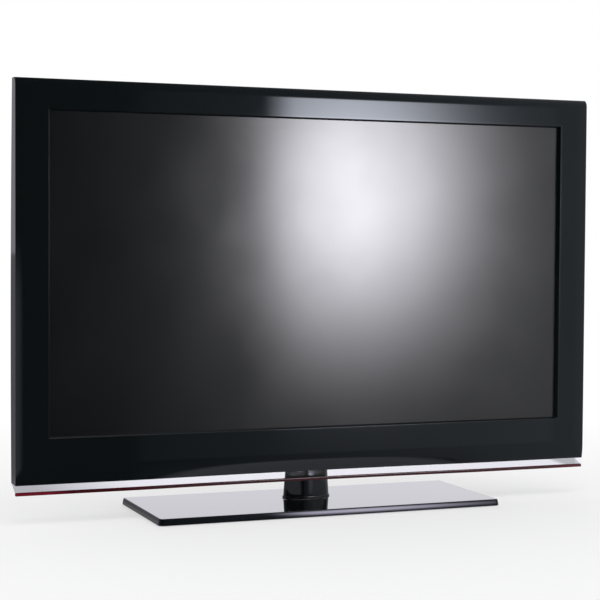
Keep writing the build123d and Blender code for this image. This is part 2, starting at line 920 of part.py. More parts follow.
# Stand bracket: two flanges on the tray and a raised web that takes the neck core
core_front = neck_depth - core_depth / 2
with BuildPart() as stand_bracket:
    with BuildSketch(Plane.XY.offset(bracket_bottom_z)):
        with BuildLine():
            Polyline(
                (-bracket_half_width - bracket_flange, face_y + tray_back),
                (-bracket_half_width, face_y + tray_back),
                (-bracket_half_width, face_y + core_front - bracket_sheet),
                (bracket_half_width, face_y + core_front - bracket_sheet),
                (bracket_half_width, face_y + tray_back),
                (bracket_half_width + bracket_flange, face_y + tray_back),
                (bracket_half_width + bracket_flange, face_y + tray_back + bracket_sheet),
                (bracket_half_width + bracket_sheet, face_y + tray_back + bracket_sheet),
                (bracket_half_width + bracket_sheet, face_y + core_front),
                (-bracket_half_width - bracket_sheet, face_y + core_front),
                (-bracket_half_width - bracket_sheet, face_y + tray_back + bracket_sheet),
                (-bracket_half_width - bracket_flange, face_y + tray_back + bracket_sheet),
                close=True,
            )
        make_face()
    extrude(amount=bracket_top_z - bracket_bottom_z)
    with BuildSketch(at_depth(tray_back)):
        with Locations(stand_screw_spots):
            Circle(stand_screw_radius + screw_gap)
    extrude(amount=-neck_depth, mode=Mode.SUBTRACT)
save(stand_bracket, "stand_bracket")

# Neck core: a steel box tube on a foot plate, with the swivel spigot under it
collar_z = base_thickness + moving_gap
foot_z = collar_z + module_gap
plate_top_z = base_thickness - base_wall - plate_recess
plate_low_z = plate_top_z - plate_thickness
bush_flange = 1.6
bush_flange_z = plate_top_z + bush_flange
neck_y = face_y + neck_depth
spigot_radius = 8.0
spigot_foot_radius = 13.0
spigot_low_z = plate_low_z - moving_gap
with BuildPart() as neck_core:
    with BuildSketch(Plane.XY.offset(foot_z)):
        with Locations((0, neck_y)):
            Ellipse(neck_half_width - neck_foot_inset, neck_half_depth - neck_foot_inset)
    extrude(amount=neck_foot_height)
    with BuildSketch(Plane.XY.offset(foot_z)):
        with Locations((0, neck_y)):
            Rectangle(core_width, core_depth)
            Rectangle(core_width - 2 * core_wall, core_depth - 2 * core_wall, mode=Mode.SUBTRACT)
    extrude(amount=bracket_top_z - foot_z)
    with BuildSketch(Plane.XY.offset(bush_flange_z + moving_gap)):
        with Locations((0, neck_y)):
            Circle(spigot_foot_radius)
    extrude(amount=foot_z + neck_foot_height - bush_flange_z - moving_gap)
    with BuildSketch(Plane.XY.offset(spigot_low_z)):
        with Locations((0, neck_y)):
            Circle(spigot_radius)
    extrude(amount=foot_z - spigot_low_z)
    with BuildSketch(at_depth(core_front - over)):
        with Locations(stand_screw_spots):
            Circle(stand_screw_radius + screw_gap)
    extrude(amount=-(core_depth + 2 * over), mode=Mode.SUBTRACT)
save(neck_core, "neck_core")

with BuildPart() as stand_screws:
    with BuildSketch(at_depth(neck_depth + core_depth / 2)):
        with Locations(stand_screw_spots):
            Circle(stand_screw_head)
    extrude(amount=-stand_screw_head_height)
    with BuildSketch(at_depth(neck_depth + core_depth / 2)):
        with Locations(stand_screw_spots):
            Circle(stand_screw_radius)
    extrude(amount=core_depth + bracket_sheet + over)
    with BuildSketch(at_depth(neck_depth + core_depth / 2 + stand_screw_head_height)):
        with Locations(stand_screw_spots):
            Rectangle(stand_screw_head, driver_slot)
            Rectangle(driver_slot, stand_screw_head)
    extrude(amount=stand_screw_head_height / 2, mode=Mode.SUBTRACT)
save(stand_screws, "stand_screws")

# Neck cover: an oval tube that narrows a little, and its collar
neck_cover_height = bezel_bottom_z + neck_cover_rise - collar_z - collar_height
with BuildPart() as neck_cover:
    with BuildSketch(Plane.XY.offset(collar_z + collar_height)):
        with Locations((0, neck_y)):
            Ellipse(neck_half_width, neck_half_depth)
    with BuildSketch(Plane.XY.offset(collar_z + collar_height + neck_taper_height)):
        with Locations((0, neck_y)):
            Ellipse(neck_top_half_width, neck_top_half_depth)
    loft()
    with BuildSketch(Plane.XY.offset(collar_z + collar_height + neck_taper_height)):
        with Locations((0, neck_y)):
            Ellipse(neck_top_half_width, neck_top_half_depth)
    extrude(amount=neck_cover_height - neck_taper_height)
    with BuildSketch(Plane.XY.offset(collar_z + collar_height - over)):
        with Locations((0, neck_y)):
            Ellipse(neck_half_width - neck_wall, neck_half_depth - neck_wall)
    with BuildSketch(Plane.XY.offset(collar_z + collar_height + neck_taper_height)):
        with Locations((0, neck_y)):
            Ellipse(neck_top_half_width - neck_wall, neck_top_half_depth - neck_wall)
    loft(mode=Mode.SUBTRACT)
    with BuildSketch(Plane.XY.offset(collar_z + collar_height + neck_taper_height)):
        with Locations((0, neck_y)):
            Ellipse(neck_top_half_width - neck_wall, neck_top_half_depth - neck_wall)
    extrude(amount=neck_cover_height, mode=Mode.SUBTRACT)
save(neck_cover, "neck_cover")

with BuildPart() as neck_collar:
    with BuildSketch(Plane.XY.offset(collar_z)):
        with Locations((0, neck_y)):
            Ellipse(neck_half_width + collar_lip, neck_half_depth + collar_lip)
            Ellipse(
                neck_half_width - neck_foot_inset + static_gap,
                neck_half_depth - neck_foot_inset + static_gap,
                mode=Mode.SUBTRACT,
            )
    extrude(amount=collar_height)
    fillet(
        neck_collar.edges().group_by(Axis.Z)[-1].sort_by(SortBy.LENGTH)[-1],
        radius=collar_height / 3,
    )
save(neck_collar, "neck_collar")

# Retaining disc under the weight plate, with the pin that stops the swivel
stop_radius = spigot_radius + 12.0
stop_pin = 2.0
pin_sunk = 0.5
stop_angle = 20.0
disc_radius = stop_radius + 5.0
disc_thickness = 1.4
with BuildPart() as retaining_disc:
    with BuildSketch(Plane.XY.offset(spigot_low_z - disc_thickness)):
        with Locations((0, neck_y)):
            Circle(disc_radius)
    extrude(amount=disc_thickness)
    with BuildSketch(Plane.XY.offset(spigot_low_z - disc_thickness)):
        with Locations((0, neck_y - stop_radius)):
            Circle(stop_pin)
    extrude(amount=disc_thickness + moving_gap + plate_thickness - pin_sunk)
save(retaining_disc, "retaining_disc")

bush_wall = 3.0
bush_flange_radius = spigot_foot_radius
with BuildPart() as swivel_bush:
    with BuildSketch(Plane.XY.offset(plate_low_z)):
        with Locations((0, neck_y)):
            Circle(spigot_radius + running_gap + bush_wall)
    extrude(amount=plate_thickness)
    with BuildSketch(Plane.XY.offset(plate_top_z)):
        with Locations((0, neck_y)):
            Circle(bush_flange_radius)
    extrude(amount=bush_flange)
    with BuildSketch(Plane.XY.offset(plate_low_z - over)):
        with Locations((0, neck_y)):
            Circle(spigot_radius + running_gap)
    extrude(amount=base_thickness, mode=Mode.SUBTRACT)
save(swivel_bush, "swivel_bush")

# Base: glossy cover, steel weight plate, screws and rubber feet
flare_angle = degrees(atan(base_flare / (base_thickness - base_ground_gap)))
base_boss_radius = 4.5
base_screw_radius = 1.5
base_screw_inset = 30.0
base_screw_inner_x = 90.0
base_screw_margin = 34.0
base_screw_x = base_width / 2 - base_screw_inset
base_screw_y = base_depth / 2 - base_screw_margin
base_screw_spots = [
    (side * x, end * base_screw_y)
    for side in (-1, 1)
    for x in (base_screw_x, base_screw_inner_x)
    for end in (-1, 1)
]
pad_inset = 52.0
pad_margin = 25.0
pad_spots = [
    (i * (base_width / 2 - pad_inset), end * (base_depth / 2 - pad_margin))
    for i in (-1, 0, 1)
    for end in (-1, 1)
]
with BuildPart() as base_cover:
    with BuildSketch(Plane.XY.offset(base_ground_gap)):
        RectangleRounded(base_width, base_depth, base_corner)
    extrude(amount=base_thickness - base_ground_gap, taper=flare_angle)
    fillet(base_cover.edges().group_by(Axis.Z)[-1], radius=base_edge)
    with BuildSketch(Plane.XY.offset(base_ground_gap - over)):
        RectangleRounded(
            base_width - 2 * (base_wall + base_flare),
            base_depth - 2 * (base_wall + base_flare),
            base_corner - base_flare,
        )
        with Locations(base_screw_spots):
            Circle(base_boss_radius, mode=Mode.SUBTRACT)
    extrude(amount=base_thickness - base_wall - base_ground_gap + over, mode=Mode.SUBTRACT)
    with BuildSketch(Plane.XY.offset(base_ground_gap - over)):
        with Locations(base_screw_spots):
            Circle(base_boss_radius + over)
    extrude(amount=plate_top_z - base_ground_gap + over, mode=Mode.SUBTRACT)
    with BuildSketch(Plane.XY.offset(base_ground_gap - over)):
        with Locations(base_screw_spots):
            Circle(base_screw_radius)
    extrude(amount=base_thickness - base_ground_gap, mode=Mode.SUBTRACT)
    with BuildSketch(Plane.XY.offset(base_ground_gap)):
        with Locations((0, neck_y)):
            Circle(spigot_foot_radius + 3 * moving_gap)
    extrude(amount=base_thickness, mode=Mode.SUBTRACT)
save(base_cover, "base_cover")

with BuildPart() as weight_plate:
    with BuildSketch(Plane.XY.offset(plate_low_z)):
        RectangleRounded(base_width - 2 * plate_inset, base_depth - 2 * plate_inset, plate_corner)
        with Locations((0, neck_y)):
            Circle(spigot_radius + running_gap + bush_wall, mode=Mode.SUBTRACT)
            SlotArc(
                CenterArc((0, 0), stop_radius, 270 - stop_angle, 2 * stop_angle),
                2 * (stop_pin + moving_gap),
                mode=Mode.SUBTRACT,
            )
        with Locations(base_screw_spots):
            Circle(base_screw_radius + module_gap, mode=Mode.SUBTRACT)
    extrude(amount=plate_thickness)
save(weight_plate, "weight_plate")

base_head_height = 1.8
with BuildPart() as base_screws:
    with BuildSketch(Plane.XY.offset(plate_low_z - base_head_height)):
        with Locations(base_screw_spots):
            Circle(screw_head_radius)
    extrude(amount=base_head_height)
    with BuildSketch(Plane.XY.offset(plate_low_z - base_head_height)):
        with Locations(base_screw_spots):
            Rectangle(screw_head_radius, driver_slot)
            Rectangle(driver_slot, screw_head_radius)
    extrude(amount=base_head_height / 2, mode=Mode.SUBTRACT)
    with BuildSketch(Plane.XY.offset(plate_low_z)):
        with Locations(base_screw_spots):
            Circle(base_screw_radius - running_gap)
    extrude(amount=plate_thickness + plate_recess - running_gap)
save(base_screws, "base_screws")

with BuildPart() as base_feet:
    with BuildSketch():
        with Locations(pad_spots):
            Circle(foot_radius)
    extrude(amount=plate_low_z)
    chamfer(base_feet.edges().group_by(Axis.Z)[0], length=foot_chamfer)
save(base_feet, "base_feet")

# Rear cover: its outside less its inside, which leaves room for wells, bays and posts
cover_sections = [
    (rim_back, 0.0, cover_corner),
    (shoulder_depth, shoulder_inset, shoulder_corner),
    (back_depth, back_inset, back_corner),
]


def cover_section(depth, inset, corner):
    """One station of the rear cover, as a rounded rectangle in from the rim."""
    with BuildSketch(at_depth(depth)) as outline:
        with Locations((0, middle_z)):
            RectangleRounded(cover_width - 2 * inset, cover_height - 2 * inset, corner)
    return outline.sketch


pod_mid_z = (pod_bottom_z + pod_top_z) / 2
pod_height = pod_top_z - pod_bottom_z
key_spots = [(key_depth, key_low_z + key_spacing * i) for i in range(len(key_names))]
post_depth = side_board_front + side_post_radius + static_gap
top_post_inset = 12.0
post_spots = [(post_depth, key_low_z - key_spacing), (post_depth, pod_top_z - top_post_inset)]
with BuildPart() as cover_hollow:
    extrude(
        cover_section(rim_front - over, cover_wall, cover_corner),
        amount=rim_front - over - rim_back,
    )
    loft(
        [
            cover_section(rim_back, cover_wall, cover_corner),
            cover_section(shoulder_depth - cover_wall / 2, shoulder_inset + cover_wall, shoulder_corner),
            cover_section(back_depth - cover_wall, back_inset + cover_wall, back_corner),
        ],
        ruled=True,
    )
    with BuildSketch(at_depth(rim_back + cover_wall)):
        with Locations(((pod_root_x + pod_face_x) / 2 - pod_wall, pod_mid_z)):
            Rectangle(pod_face_x - pod_root_x, pod_height - 2 * pod_wall)
    extrude(amount=-(pod_back - rim_back - 2 * pod_wall))
    with BuildSketch(at_depth(boss_end + static_gap)):
        with Locations(cover_screw_spots):
            Circle(well_radius)
    extrude(amount=-back_depth, mode=Mode.SUBTRACT)
    with BuildSketch(at_depth(bay_floor)):
        with Locations((bay_x, bay_z)):
            Rectangle(bay_width + 2 * cover_wall, bay_height + 2 * cover_wall)
    extrude(amount=-back_depth, mode=Mode.SUBTRACT)
    with BuildSketch(at_depth(inlet_bay_floor - cover_wall)):
        with Locations((inlet_x, inlet_z)):
            Rectangle(inlet_bay_width + 2 * cover_wall, inlet_bay_height + 2 * cover_wall)
    extrude(amount=-back_depth, mode=Mode.SUBTRACT)
    with BuildSketch(Plane.YZ.offset(side_board_x)):
        with Locations([(face_y + d, z) for d, z in post_spots]):
            Circle(side_post_radius)
    extrude(amount=pod_face_x - side_board_x, mode=Mode.SUBTRACT)

with BuildPart() as rear_cover:
    extrude(cover_section(rim_front, 0.0, cover_corner), amount=rim_front - rim_back)
    loft([cover_section(*station) for station in cover_sections], ruled=True)
    with BuildSketch(at_depth(rim_back)):
        with Locations(((pod_root_x + pod_face_x) / 2, pod_mid_z)):
            Rectangle(pod_face_x - pod_root_x, pod_height)
    extrude(amount=rim_back - pod_back)
    add(cover_hollow.part, mode=Mode.SUBTRACT)
    with BuildSketch(at_depth(boss_end + static_gap + well_floor)):
        with Locations(cover_screw_spots):
            Circle(well_bore)
    extrude(amount=-back_depth, mode=Mode.SUBTRACT)
    with BuildSketch(at_depth(rim_front)):
        with Locations(cover_screw_spots):
            Circle(screw_radius + static_gap)
    extrude(amount=-2 * well_floor, mode=Mode.SUBTRACT)
    with BuildSketch(at_depth(bay_floor - over)):
        with Locations((bay_x, bay_z)):
            Rectangle(bay_width, bay_height)
    extrude(amount=-back_depth, mode=Mode.SUBTRACT)
    with BuildSketch(at_depth(inlet_bay_floor)):
        with Locations((inlet_x, inlet_z)):
            Rectangle(inlet_bay_width, inlet_bay_height)
    extrude(amount=-back_depth, mode=Mode.SUBTRACT)
    with BuildSketch(at_depth(inlet_bay_floor - 2 * cover_wall)):
        with Locations((inlet_x, inlet_z)):
            Rectangle(inlet_body_width + 2 * inlet_body_gap, inlet_body_height + 2 * inlet_body_gap)
    extrude(amount=-back_depth, mode=Mode.SUBTRACT)
    with BuildSketch(at_depth(shoulder_depth)):
        with Locations((0, screen_z)):
            with GridLocations(wall_mount_spacing, wall_mount_spacing, 2, 2):
                Circle(wall_mount_clearance)
        with Locations(stand_screw_spots):
            Circle(stand_access_radius)
    extrude(amount=-back_depth, mode=Mode.SUBTRACT)
    with BuildSketch(at_depth(shoulder_depth)):
        with Locations((0, top_slot_z)):
            with GridLocations(slot_spacing, 1, top_slot_count, 1):
                SlotOverall(slot_height, slot_width, rotation=90)
        for side in (-1, 1):
            with Locations((side * low_slot_x, low_slot_z)):
                with GridLocations(slot_spacing, 1, low_slot_count, 1):
                    SlotOverall(slot_height, slot_width, rotation=90)
    extrude(amount=-back_depth, mode=Mode.SUBTRACT)
    with BuildSketch(Plane.XY.offset(bezel_bottom_z)):
        with Locations((0, neck_y)):
            Ellipse(neck_top_half_width + 2 * shell_gap, neck_top_half_depth + 2 * shell_gap)
    extrude(amount=neck_cover_rise + 2 * over, mode=Mode.SUBTRACT)
    with BuildSketch(Plane.XY.offset(bezel_bottom_z)):
        for side in (-1, 1):
            with Locations((side * speaker_x, face_y + rim_back - grille_setback)):
                with GridLocations(grille_spacing, 1, grille_count, 1):
                    SlotOverall(grille_length, grille_slot, rotation=90)
    extrude(amount=2 * bezel_wall + cover_wall, mode=Mode.SUBTRACT)
    with BuildSketch(Plane.YZ.offset(pod_face_x - pod_wall - over)):
        with Locations([(face_y + d, z) for d, z in key_spots]):
            Rectangle(key_width + 2 * key_gap, key_height + 2 * key_gap)
        with Locations((face_y + key_depth, usb_z)):
            Rectangle(usb_short + 2 * socket_clearance, usb_long + 2 * socket_clearance)
        with Locations((face_y + key_depth, phones_z)):
            Circle(phones_radius + socket_clearance)
    extrude(amount=pod_wall + 2 * over, mode=Mode.SUBTRACT)
save(rear_cover, "rear_cover")

with BuildPart() as cover_screws:
    with BuildSketch(at_depth(boss_end + static_gap + well_floor)):
        with Locations(cover_screw_spots):
            Circle(screw_head_radius)
    extrude(amount=-screw_head_height)
    with BuildSketch(at_depth(boss_end + static_gap + well_floor)):
        with Locations(cover_screw_spots):
            Circle(screw_radius)
    extrude(amount=screw_length)
    with BuildSketch(at_depth(boss_end + static_gap + well_floor + screw_head_height)):
        with Locations(cover_screw_spots):
            Rectangle(screw_head_radius, driver_slot)
            Rectangle(driver_slot, screw_head_radius)
    extrude(amount=screw_head_height / 2, mode=Mode.SUBTRACT)
save(cover_screws, "cover_screws")

# Connector plate on the floor of the bay, with holes for the sockets
with BuildPart() as connector_plate:
    with BuildSketch(at_depth(connector_front)):
        with Locations((bay_x, bay_z)):
            Rectangle(bay_width + cover_wall, bay_height + cover_wall)
        with Locations(hdmi_spots):
            Rectangle(
                hdmi_width + 2 * socket_clearance,
                hdmi_height + 2 * socket_clearance,
                mode=Mode.SUBTRACT,
            )
        with Locations(phono_spots):
            Circle(phono_radius + socket_clearance, mode=Mode.SUBTRACT)
        with Locations(pc_spot):
            Rectangle(
                pc_width + 2 * socket_clearance, pc_height + 2 * socket_clearance, mode=Mode.SUBTRACT
            )
        with Locations(aerial_spot):
            Circle(aerial_radius + socket_clearance, mode=Mode.SUBTRACT)
    extrude(amount=-connector_sheet)
save(connector_plate, "connector_plate")

with BuildPart() as hdmi_sockets:
    with BuildSketch(at_depth(board_back)):
        with Locations(hdmi_spots):
            Rectangle(hdmi_width, hdmi_height)
    extrude(amount=board_back - hdmi_mouth)
    with BuildSketch(at_depth(hdmi_mouth)):
        with Locations(hdmi_spots):
            Rectangle(hdmi_width - 2 * hdmi_wall, hdmi_height - 2 * hdmi_wall)
    extrude(amount=hdmi_cavity, mode=Mode.SUBTRACT)
    with BuildSketch(at_depth(hdmi_mouth - hdmi_cavity)):
        with Locations(hdmi_spots):
            Rectangle(hdmi_width - hdmi_tongue_margin, hdmi_tongue)
    extrude(amount=hdmi_tongue_recess - hdmi_cavity)
save(hdmi_sockets, "hdmi_sockets")

with BuildPart() as phono_sockets:
    with BuildSketch(at_depth(board_back)):
        with Locations(phono_spots):
            Rectangle(phono_block, phono_block)
    extrude(amount=board_back - connector_front + static_gap)
    with BuildSketch(at_depth(board_back)):
        with Locations(phono_spots):
            Circle(phono_radius)
    extrude(amount=board_back - phono_mouth)
    with BuildSketch(at_depth(phono_mouth)):
        with Locations(phono_spots):
            Circle(phono_bore)
    extrude(amount=phono_bore_length, mode=Mode.SUBTRACT)
save(phono_sockets, "phono_sockets")

with BuildPart() as pc_socket:
    with BuildSketch(at_depth(board_back)):
        with Locations(pc_spot):
            RectangleRounded(pc_width, pc_height, pc_corner)
    extrude(amount=board_back - pc_mouth)
    with BuildSketch(at_depth(pc_mouth)):
        with Locations(pc_spot):
            with GridLocations(pc_contact_spacing, pc_contact_spacing, 5, 3):
                Circle(pc_contact)
    extrude(amount=pc_contact_depth, mode=Mode.SUBTRACT)
save(pc_socket, "pc_socket")

with BuildPart() as tuner_can:
    with BuildSketch(at_depth(board_back)):
        with Locations(aerial_spot):
            Rectangle(tuner_width, tuner_height)
    extrude(amount=-tuner_depth)
save(tuner_can, "tuner_can")

with BuildPart() as aerial_socket:
    with BuildSketch(at_depth(board_back + tuner_depth)):
        with Locations(aerial_spot):
            Circle(aerial_radius)
    extrude(amount=board_back + tuner_depth - aerial_mouth)
save(aerial_socket, "aerial_socket")

# Mains inlet: a flanged body with a deep cavity and three contact blades
with BuildPart() as mains_inlet:
    with BuildSketch(at_depth(inlet_bay_floor + inlet_flange_sheet)):
        with Locations((inlet_x, inlet_z)):
            RectangleRounded(inlet_flange_width, inlet_flange_height, inlet_corner)
    extrude(amount=inlet_flange_sheet)
    with BuildSketch(at_depth(inlet_bay_floor)):
        with Locations((inlet_x, inlet_z)):
            Rectangle(inlet_body_width, inlet_body_height)
    extrude(amount=inlet_body_depth)
    with BuildSketch(at_depth(inlet_bay_floor + inlet_flange_sheet)):
        with Locations((inlet_x, inlet_z)):
            Rectangle(inlet_cavity_width, inlet_cavity_height)
    extrude(amount=inlet_cavity_depth, mode=Mode.SUBTRACT)
save(mains_inlet, "mains_inlet")

blade_root = inlet_bay_floor + inlet_flange_sheet - inlet_cavity_depth
with BuildPart() as inlet_blades:
    with BuildSketch(at_depth(blade_root)):
        with Locations(
            (inlet_x, inlet_z + blade_rise),
            (inlet_x - blade_spread, inlet_z - blade_rise),
            (inlet_x + blade_spread, inlet_z - blade_rise),
        ):
            Rectangle(blade_width, blade_height)
    extrude(amount=-blade_length)
save(inlet_blades, "inlet_blades")

# Side board in the key pod, with its switches and sockets
side_board_y = face_y + (side_board_front + side_board_back) / 2
side_board_height = pod_height - 2 * (pod_wall + side_board_end_gap)
with BuildPart() as side_board:
    with BuildSketch(Plane.YZ.offset(side_board_x - side_board_sheet)):
        with Locations((side_board_y, pod_mid_z)):
            Rectangle(side_board_back - side_board_front, side_board_height)
    extrude(amount=side_board_sheet)
save(side_board, "side_board")

with BuildPart() as key_switches:
    with BuildSketch(Plane.YZ.offset(side_board_x)):
        with Locations([(face_y + d, z) for d, z in key_spots]):
            Rectangle(switch_size, switch_size)
    extrude(amount=switch_body)
    with BuildSketch(Plane.YZ.offset(side_board_x + switch_body)):
        with Locations([(face_y + d, z) for d, z in key_spots]):
            Circle(switch_plunger_radius)
    extrude(amount=switch_plunger)
save(key_switches, "key_switches")

# Keys: a cap through the pod's wall, a flange that keeps it in, a stem to its switch
pod_inner_x = pod_face_x - pod_wall
flange_x = pod_inner_x - key_gap - key_flange_sheet
stem_x = side_board_x + switch_body + switch_plunger + static_gap + key_travel
for key_name, (depth, z) in zip(key_names, key_spots):
    with BuildPart() as key:
        with BuildSketch(Plane.YZ.offset(flange_x)):
            with Locations((face_y + depth, z)):
                Rectangle(key_width, key_height)
        extrude(amount=pod_face_x + key_proud - flange_x)
        fillet(key.edges().group_by(Axis.X)[-1], radius=key_edge)
        with BuildSketch(Plane.YZ.offset(flange_x)):
            with Locations((face_y + depth, z)):
                Rectangle(key_width + 2 * key_flange, key_height + 2 * key_flange)
        extrude(amount=key_flange_sheet)
        with BuildSketch(Plane.YZ.offset(stem_x)):
            with Locations((face_y + depth, z)):
                Circle(key_stem)
        extrude(amount=flange_x - stem_x)
    save(key, key_name)

with BuildPart() as usb_socket:
    with BuildSketch(Plane.YZ.offset(side_board_x)):
        with Locations((face_y + key_depth, usb_z)):
            Rectangle(usb_short, usb_long)
    extrude(amount=pod_face_x - side_board_x - usb_sunk)
    with BuildSketch(Plane.YZ.offset(pod_face_x - usb_sunk)):
        with Locations((face_y + key_depth, usb_z)):
            Rectangle(usb_short - 2 * usb_wall, usb_long - 2 * usb_wall)
    extrude(amount=-usb_cavity, mode=Mode.SUBTRACT)
    with BuildSketch(Plane.YZ.offset(pod_face_x - usb_sunk - usb_cavity)):
        with Locations((face_y + key_depth + usb_tongue / 2, usb_z)):
            Rectangle(usb_tongue, usb_long - 2 * usb_tongue)
    extrude(amount=usb_cavity - usb_tongue_recess)
save(usb_socket, "usb_socket")

with BuildPart() as headphone_socket:
    with BuildSketch(Plane.YZ.offset(side_board_x)):
        with Locations((face_y + key_depth, phones_z)):
            Rectangle(phones_block_depth, phones_block_height)
    extrude(amount=pod_inner_x - static_gap - side_board_x)
    with BuildSketch(Plane.YZ.offset(side_board_x)):
        with Locations((face_y + key_depth, phones_z)):
            Circle(phones_radius)
    extrude(amount=pod_face_x + phones_proud - side_board_x)
    with BuildSketch(Plane.YZ.offset(pod_face_x + phones_proud)):
        with Locations((face_y + key_depth, phones_z)):
            Circle(phones_bore)
    extrude(amount=-phones_bore_length, mode=Mode.SUBTRACT)
save(headphone_socket, "headphone_socket")

# Speakers, and the board behind the lower bezel that hears the remote control
speaker_low_z = bezel_bottom_z + bezel_wall + shell_gap + cover_wall + static_gap
with BuildPart() as speaker_boxes:
    with BuildSketch(at_depth(speaker_front)):
        with Locations((0, speaker_low_z + speaker_height / 2)):
            with GridLocations(2 * speaker_x, 1, 2, 1):
                RectangleRounded(speaker_width, speaker_height, speaker_corner)
    extrude(amount=-speaker_depth)
save(speaker_boxes, "speaker_boxes")

with BuildPart() as speaker_magnets:
    with BuildSketch(at_depth(speaker_front + speaker_depth)):
        with Locations((0, speaker_low_z + speaker_height - magnet_radius - magnet_drop)):
            with GridLocations(2 * speaker_x, 1, 2, 1):
                with GridLocations(magnet_spacing, 1, 2, 1):
                    Circle(magnet_radius)
    extrude(amount=-magnet_depth)
save(speaker_magnets, "speaker_magnets")

with BuildPart() as sensor_board:
    with BuildSketch(at_depth(bezel_wall + static_gap)):
        with Locations((sensor_x, sensor_z)):
            Rectangle(sensor_width, sensor_height)
    extrude(amount=-sensor_sheet)
save(sensor_board, "sensor_board")
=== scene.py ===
"""Looks of a 40 inch LCD television on a swivel stand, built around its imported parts."""
import math

import bmesh
import bpy
from mathutils import Matrix, Vector


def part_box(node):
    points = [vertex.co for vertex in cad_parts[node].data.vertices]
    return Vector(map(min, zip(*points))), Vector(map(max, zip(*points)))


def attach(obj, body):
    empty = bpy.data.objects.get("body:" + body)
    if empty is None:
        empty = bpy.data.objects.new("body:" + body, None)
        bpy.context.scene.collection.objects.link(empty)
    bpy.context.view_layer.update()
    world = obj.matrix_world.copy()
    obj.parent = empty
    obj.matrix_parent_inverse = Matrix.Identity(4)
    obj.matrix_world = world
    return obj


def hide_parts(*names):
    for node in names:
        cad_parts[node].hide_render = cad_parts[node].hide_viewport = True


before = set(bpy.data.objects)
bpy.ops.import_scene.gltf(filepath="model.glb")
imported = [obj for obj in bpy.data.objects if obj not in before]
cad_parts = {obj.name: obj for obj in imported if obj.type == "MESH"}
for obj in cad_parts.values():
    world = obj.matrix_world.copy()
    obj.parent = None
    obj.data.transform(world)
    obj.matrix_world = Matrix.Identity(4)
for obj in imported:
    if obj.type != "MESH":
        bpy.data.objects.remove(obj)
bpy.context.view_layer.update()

bl_info = {
    "name": "Flat television dressing",
    "version": (1, 0, 0),
    "blender": (4, 5, 0),
    "location": "View3D > Sidebar > Television",
    "description": "Gives a flat television on a swivel stand its finishes and fine detail",
    "category": "Object",
}

MM = 0.001
BEZEL_LOW, BEZEL_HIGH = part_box("front_bezel")
NECK_LOW, NECK_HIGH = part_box("neck_cover")
BASE_LOW, BASE_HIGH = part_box("base_cover")
TO_BACK = (math.radians(-90), 0.0, 0.0)
TO_FLOOR = (math.radians(180), 0.0, 0.0)
WHITE = (1.0, 1.0, 1.0)


# Settings

def a_length(name, description, default):
    """Setting for a length in metres."""
    return bpy.props.FloatProperty(
        name=name, description=description, default=default, unit="LENGTH")


def an_angle(name, description, degrees):
    """Setting for an angle."""
    return bpy.props.FloatProperty(
        name=name, description=description, default=math.radians(degrees), subtype="ANGLE")


def a_number(name, description, default, least=0.0):
    """Setting for a plain number."""
    return bpy.props.FloatProperty(
        name=name, description=description, default=default, min=least)


def a_colour(name, description, *default):
    """Setting for a colour."""
    return bpy.props.FloatVectorProperty(
        name=name, description=description, default=default, subtype="COLOR", size=3,
        min=0, max=1)


def a_place(name, description, *default):
    """Setting for a place or a reach in two or three directions."""
    return bpy.props.FloatVectorProperty(
        name=name, description=description, default=default, subtype="XYZ",
        size=len(default), unit="LENGTH")


class ShellSizes(bpy.types.PropertyGroup):
    """Sizes of the glossy front bezel."""

    side_border: a_length("Side border", "Width of the bezel beside the opening", 51.5 * MM)
    top_border: a_length("Top border", "Height of the bezel over the opening", 46.7 * MM)
    bottom_border: a_length("Bottom border", "Height of the bezel under the opening", 71.0 * MM)
    opening_depth: a_length("Opening depth", "Depth of the wall round the screen", 8.0 * MM)
    opening_slope: a_length("Opening slope", "How far that wall leans in", 2.0 * MM)
    wall: a_length("Wall", "Thickness of the moulding", 2.5 * MM)
    top_roll_depth: a_length("Top roll depth", "How far back the top edge rolls", 11.0 * MM)
    top_roll_height: a_length("Top roll height", "Height over which the top rolls", 16.0 * MM)
    bottom_roll_depth: a_length("Bottom roll depth", "How far the foot rolls back", 11.5 * MM)
    bottom_roll_end: a_number("Bottom roll at the ends", "Share of that depth left there", 0.35)
    bottom_roll_reach: a_length(
        "Bottom roll reach", "Distance from the middle at which half is left", 250.0 * MM)
    bottom_roll_bend: a_number(
        "Bottom roll bend", "How late the roll bends, 1 is a flat chamfer", 1.6, 1)
    bottom_roll_height: a_length(
        "Bottom roll height", "Height over which the lower edge rolls", 30.4 * MM)
    side_roll_width: a_length("Side roll width", "Width over which the ends fall away", 20.0 * MM)
    side_roll_depth: a_length("Side roll depth", "How far the ends fall away", 1.6 * MM)
    rear_top: a_length("Side depth at the top", "Depth of the side wall there", 27.0 * MM)
    rear_middle: a_length("Side depth half way up", "Depth of the side wall there", 38.6 * MM)
    rear_bottom: a_length("Side depth at the foot", "Depth of the side wall there", 36.0 * MM)
    edge: a_length("Edge radius", "Softness of the moulding's edges", 0.5 * MM)


class TrimSizes(bpy.types.PropertyGroup):
    """Sizes of the strips under the bezel."""

    clear_foot: a_length("Clear foot", "Depth of the clear strip's lower edge", 5.5 * MM)
    setback: a_length("Setback", "How far the strips stand behind the bezel's foot", 0.5 * MM)
    edge: a_length("Edge radius", "Softness of the strips' edges", 0.35 * MM)
    end_inset: a_length("End inset", "How far the strips stay inside the bezel's ends", 0.4 * MM)


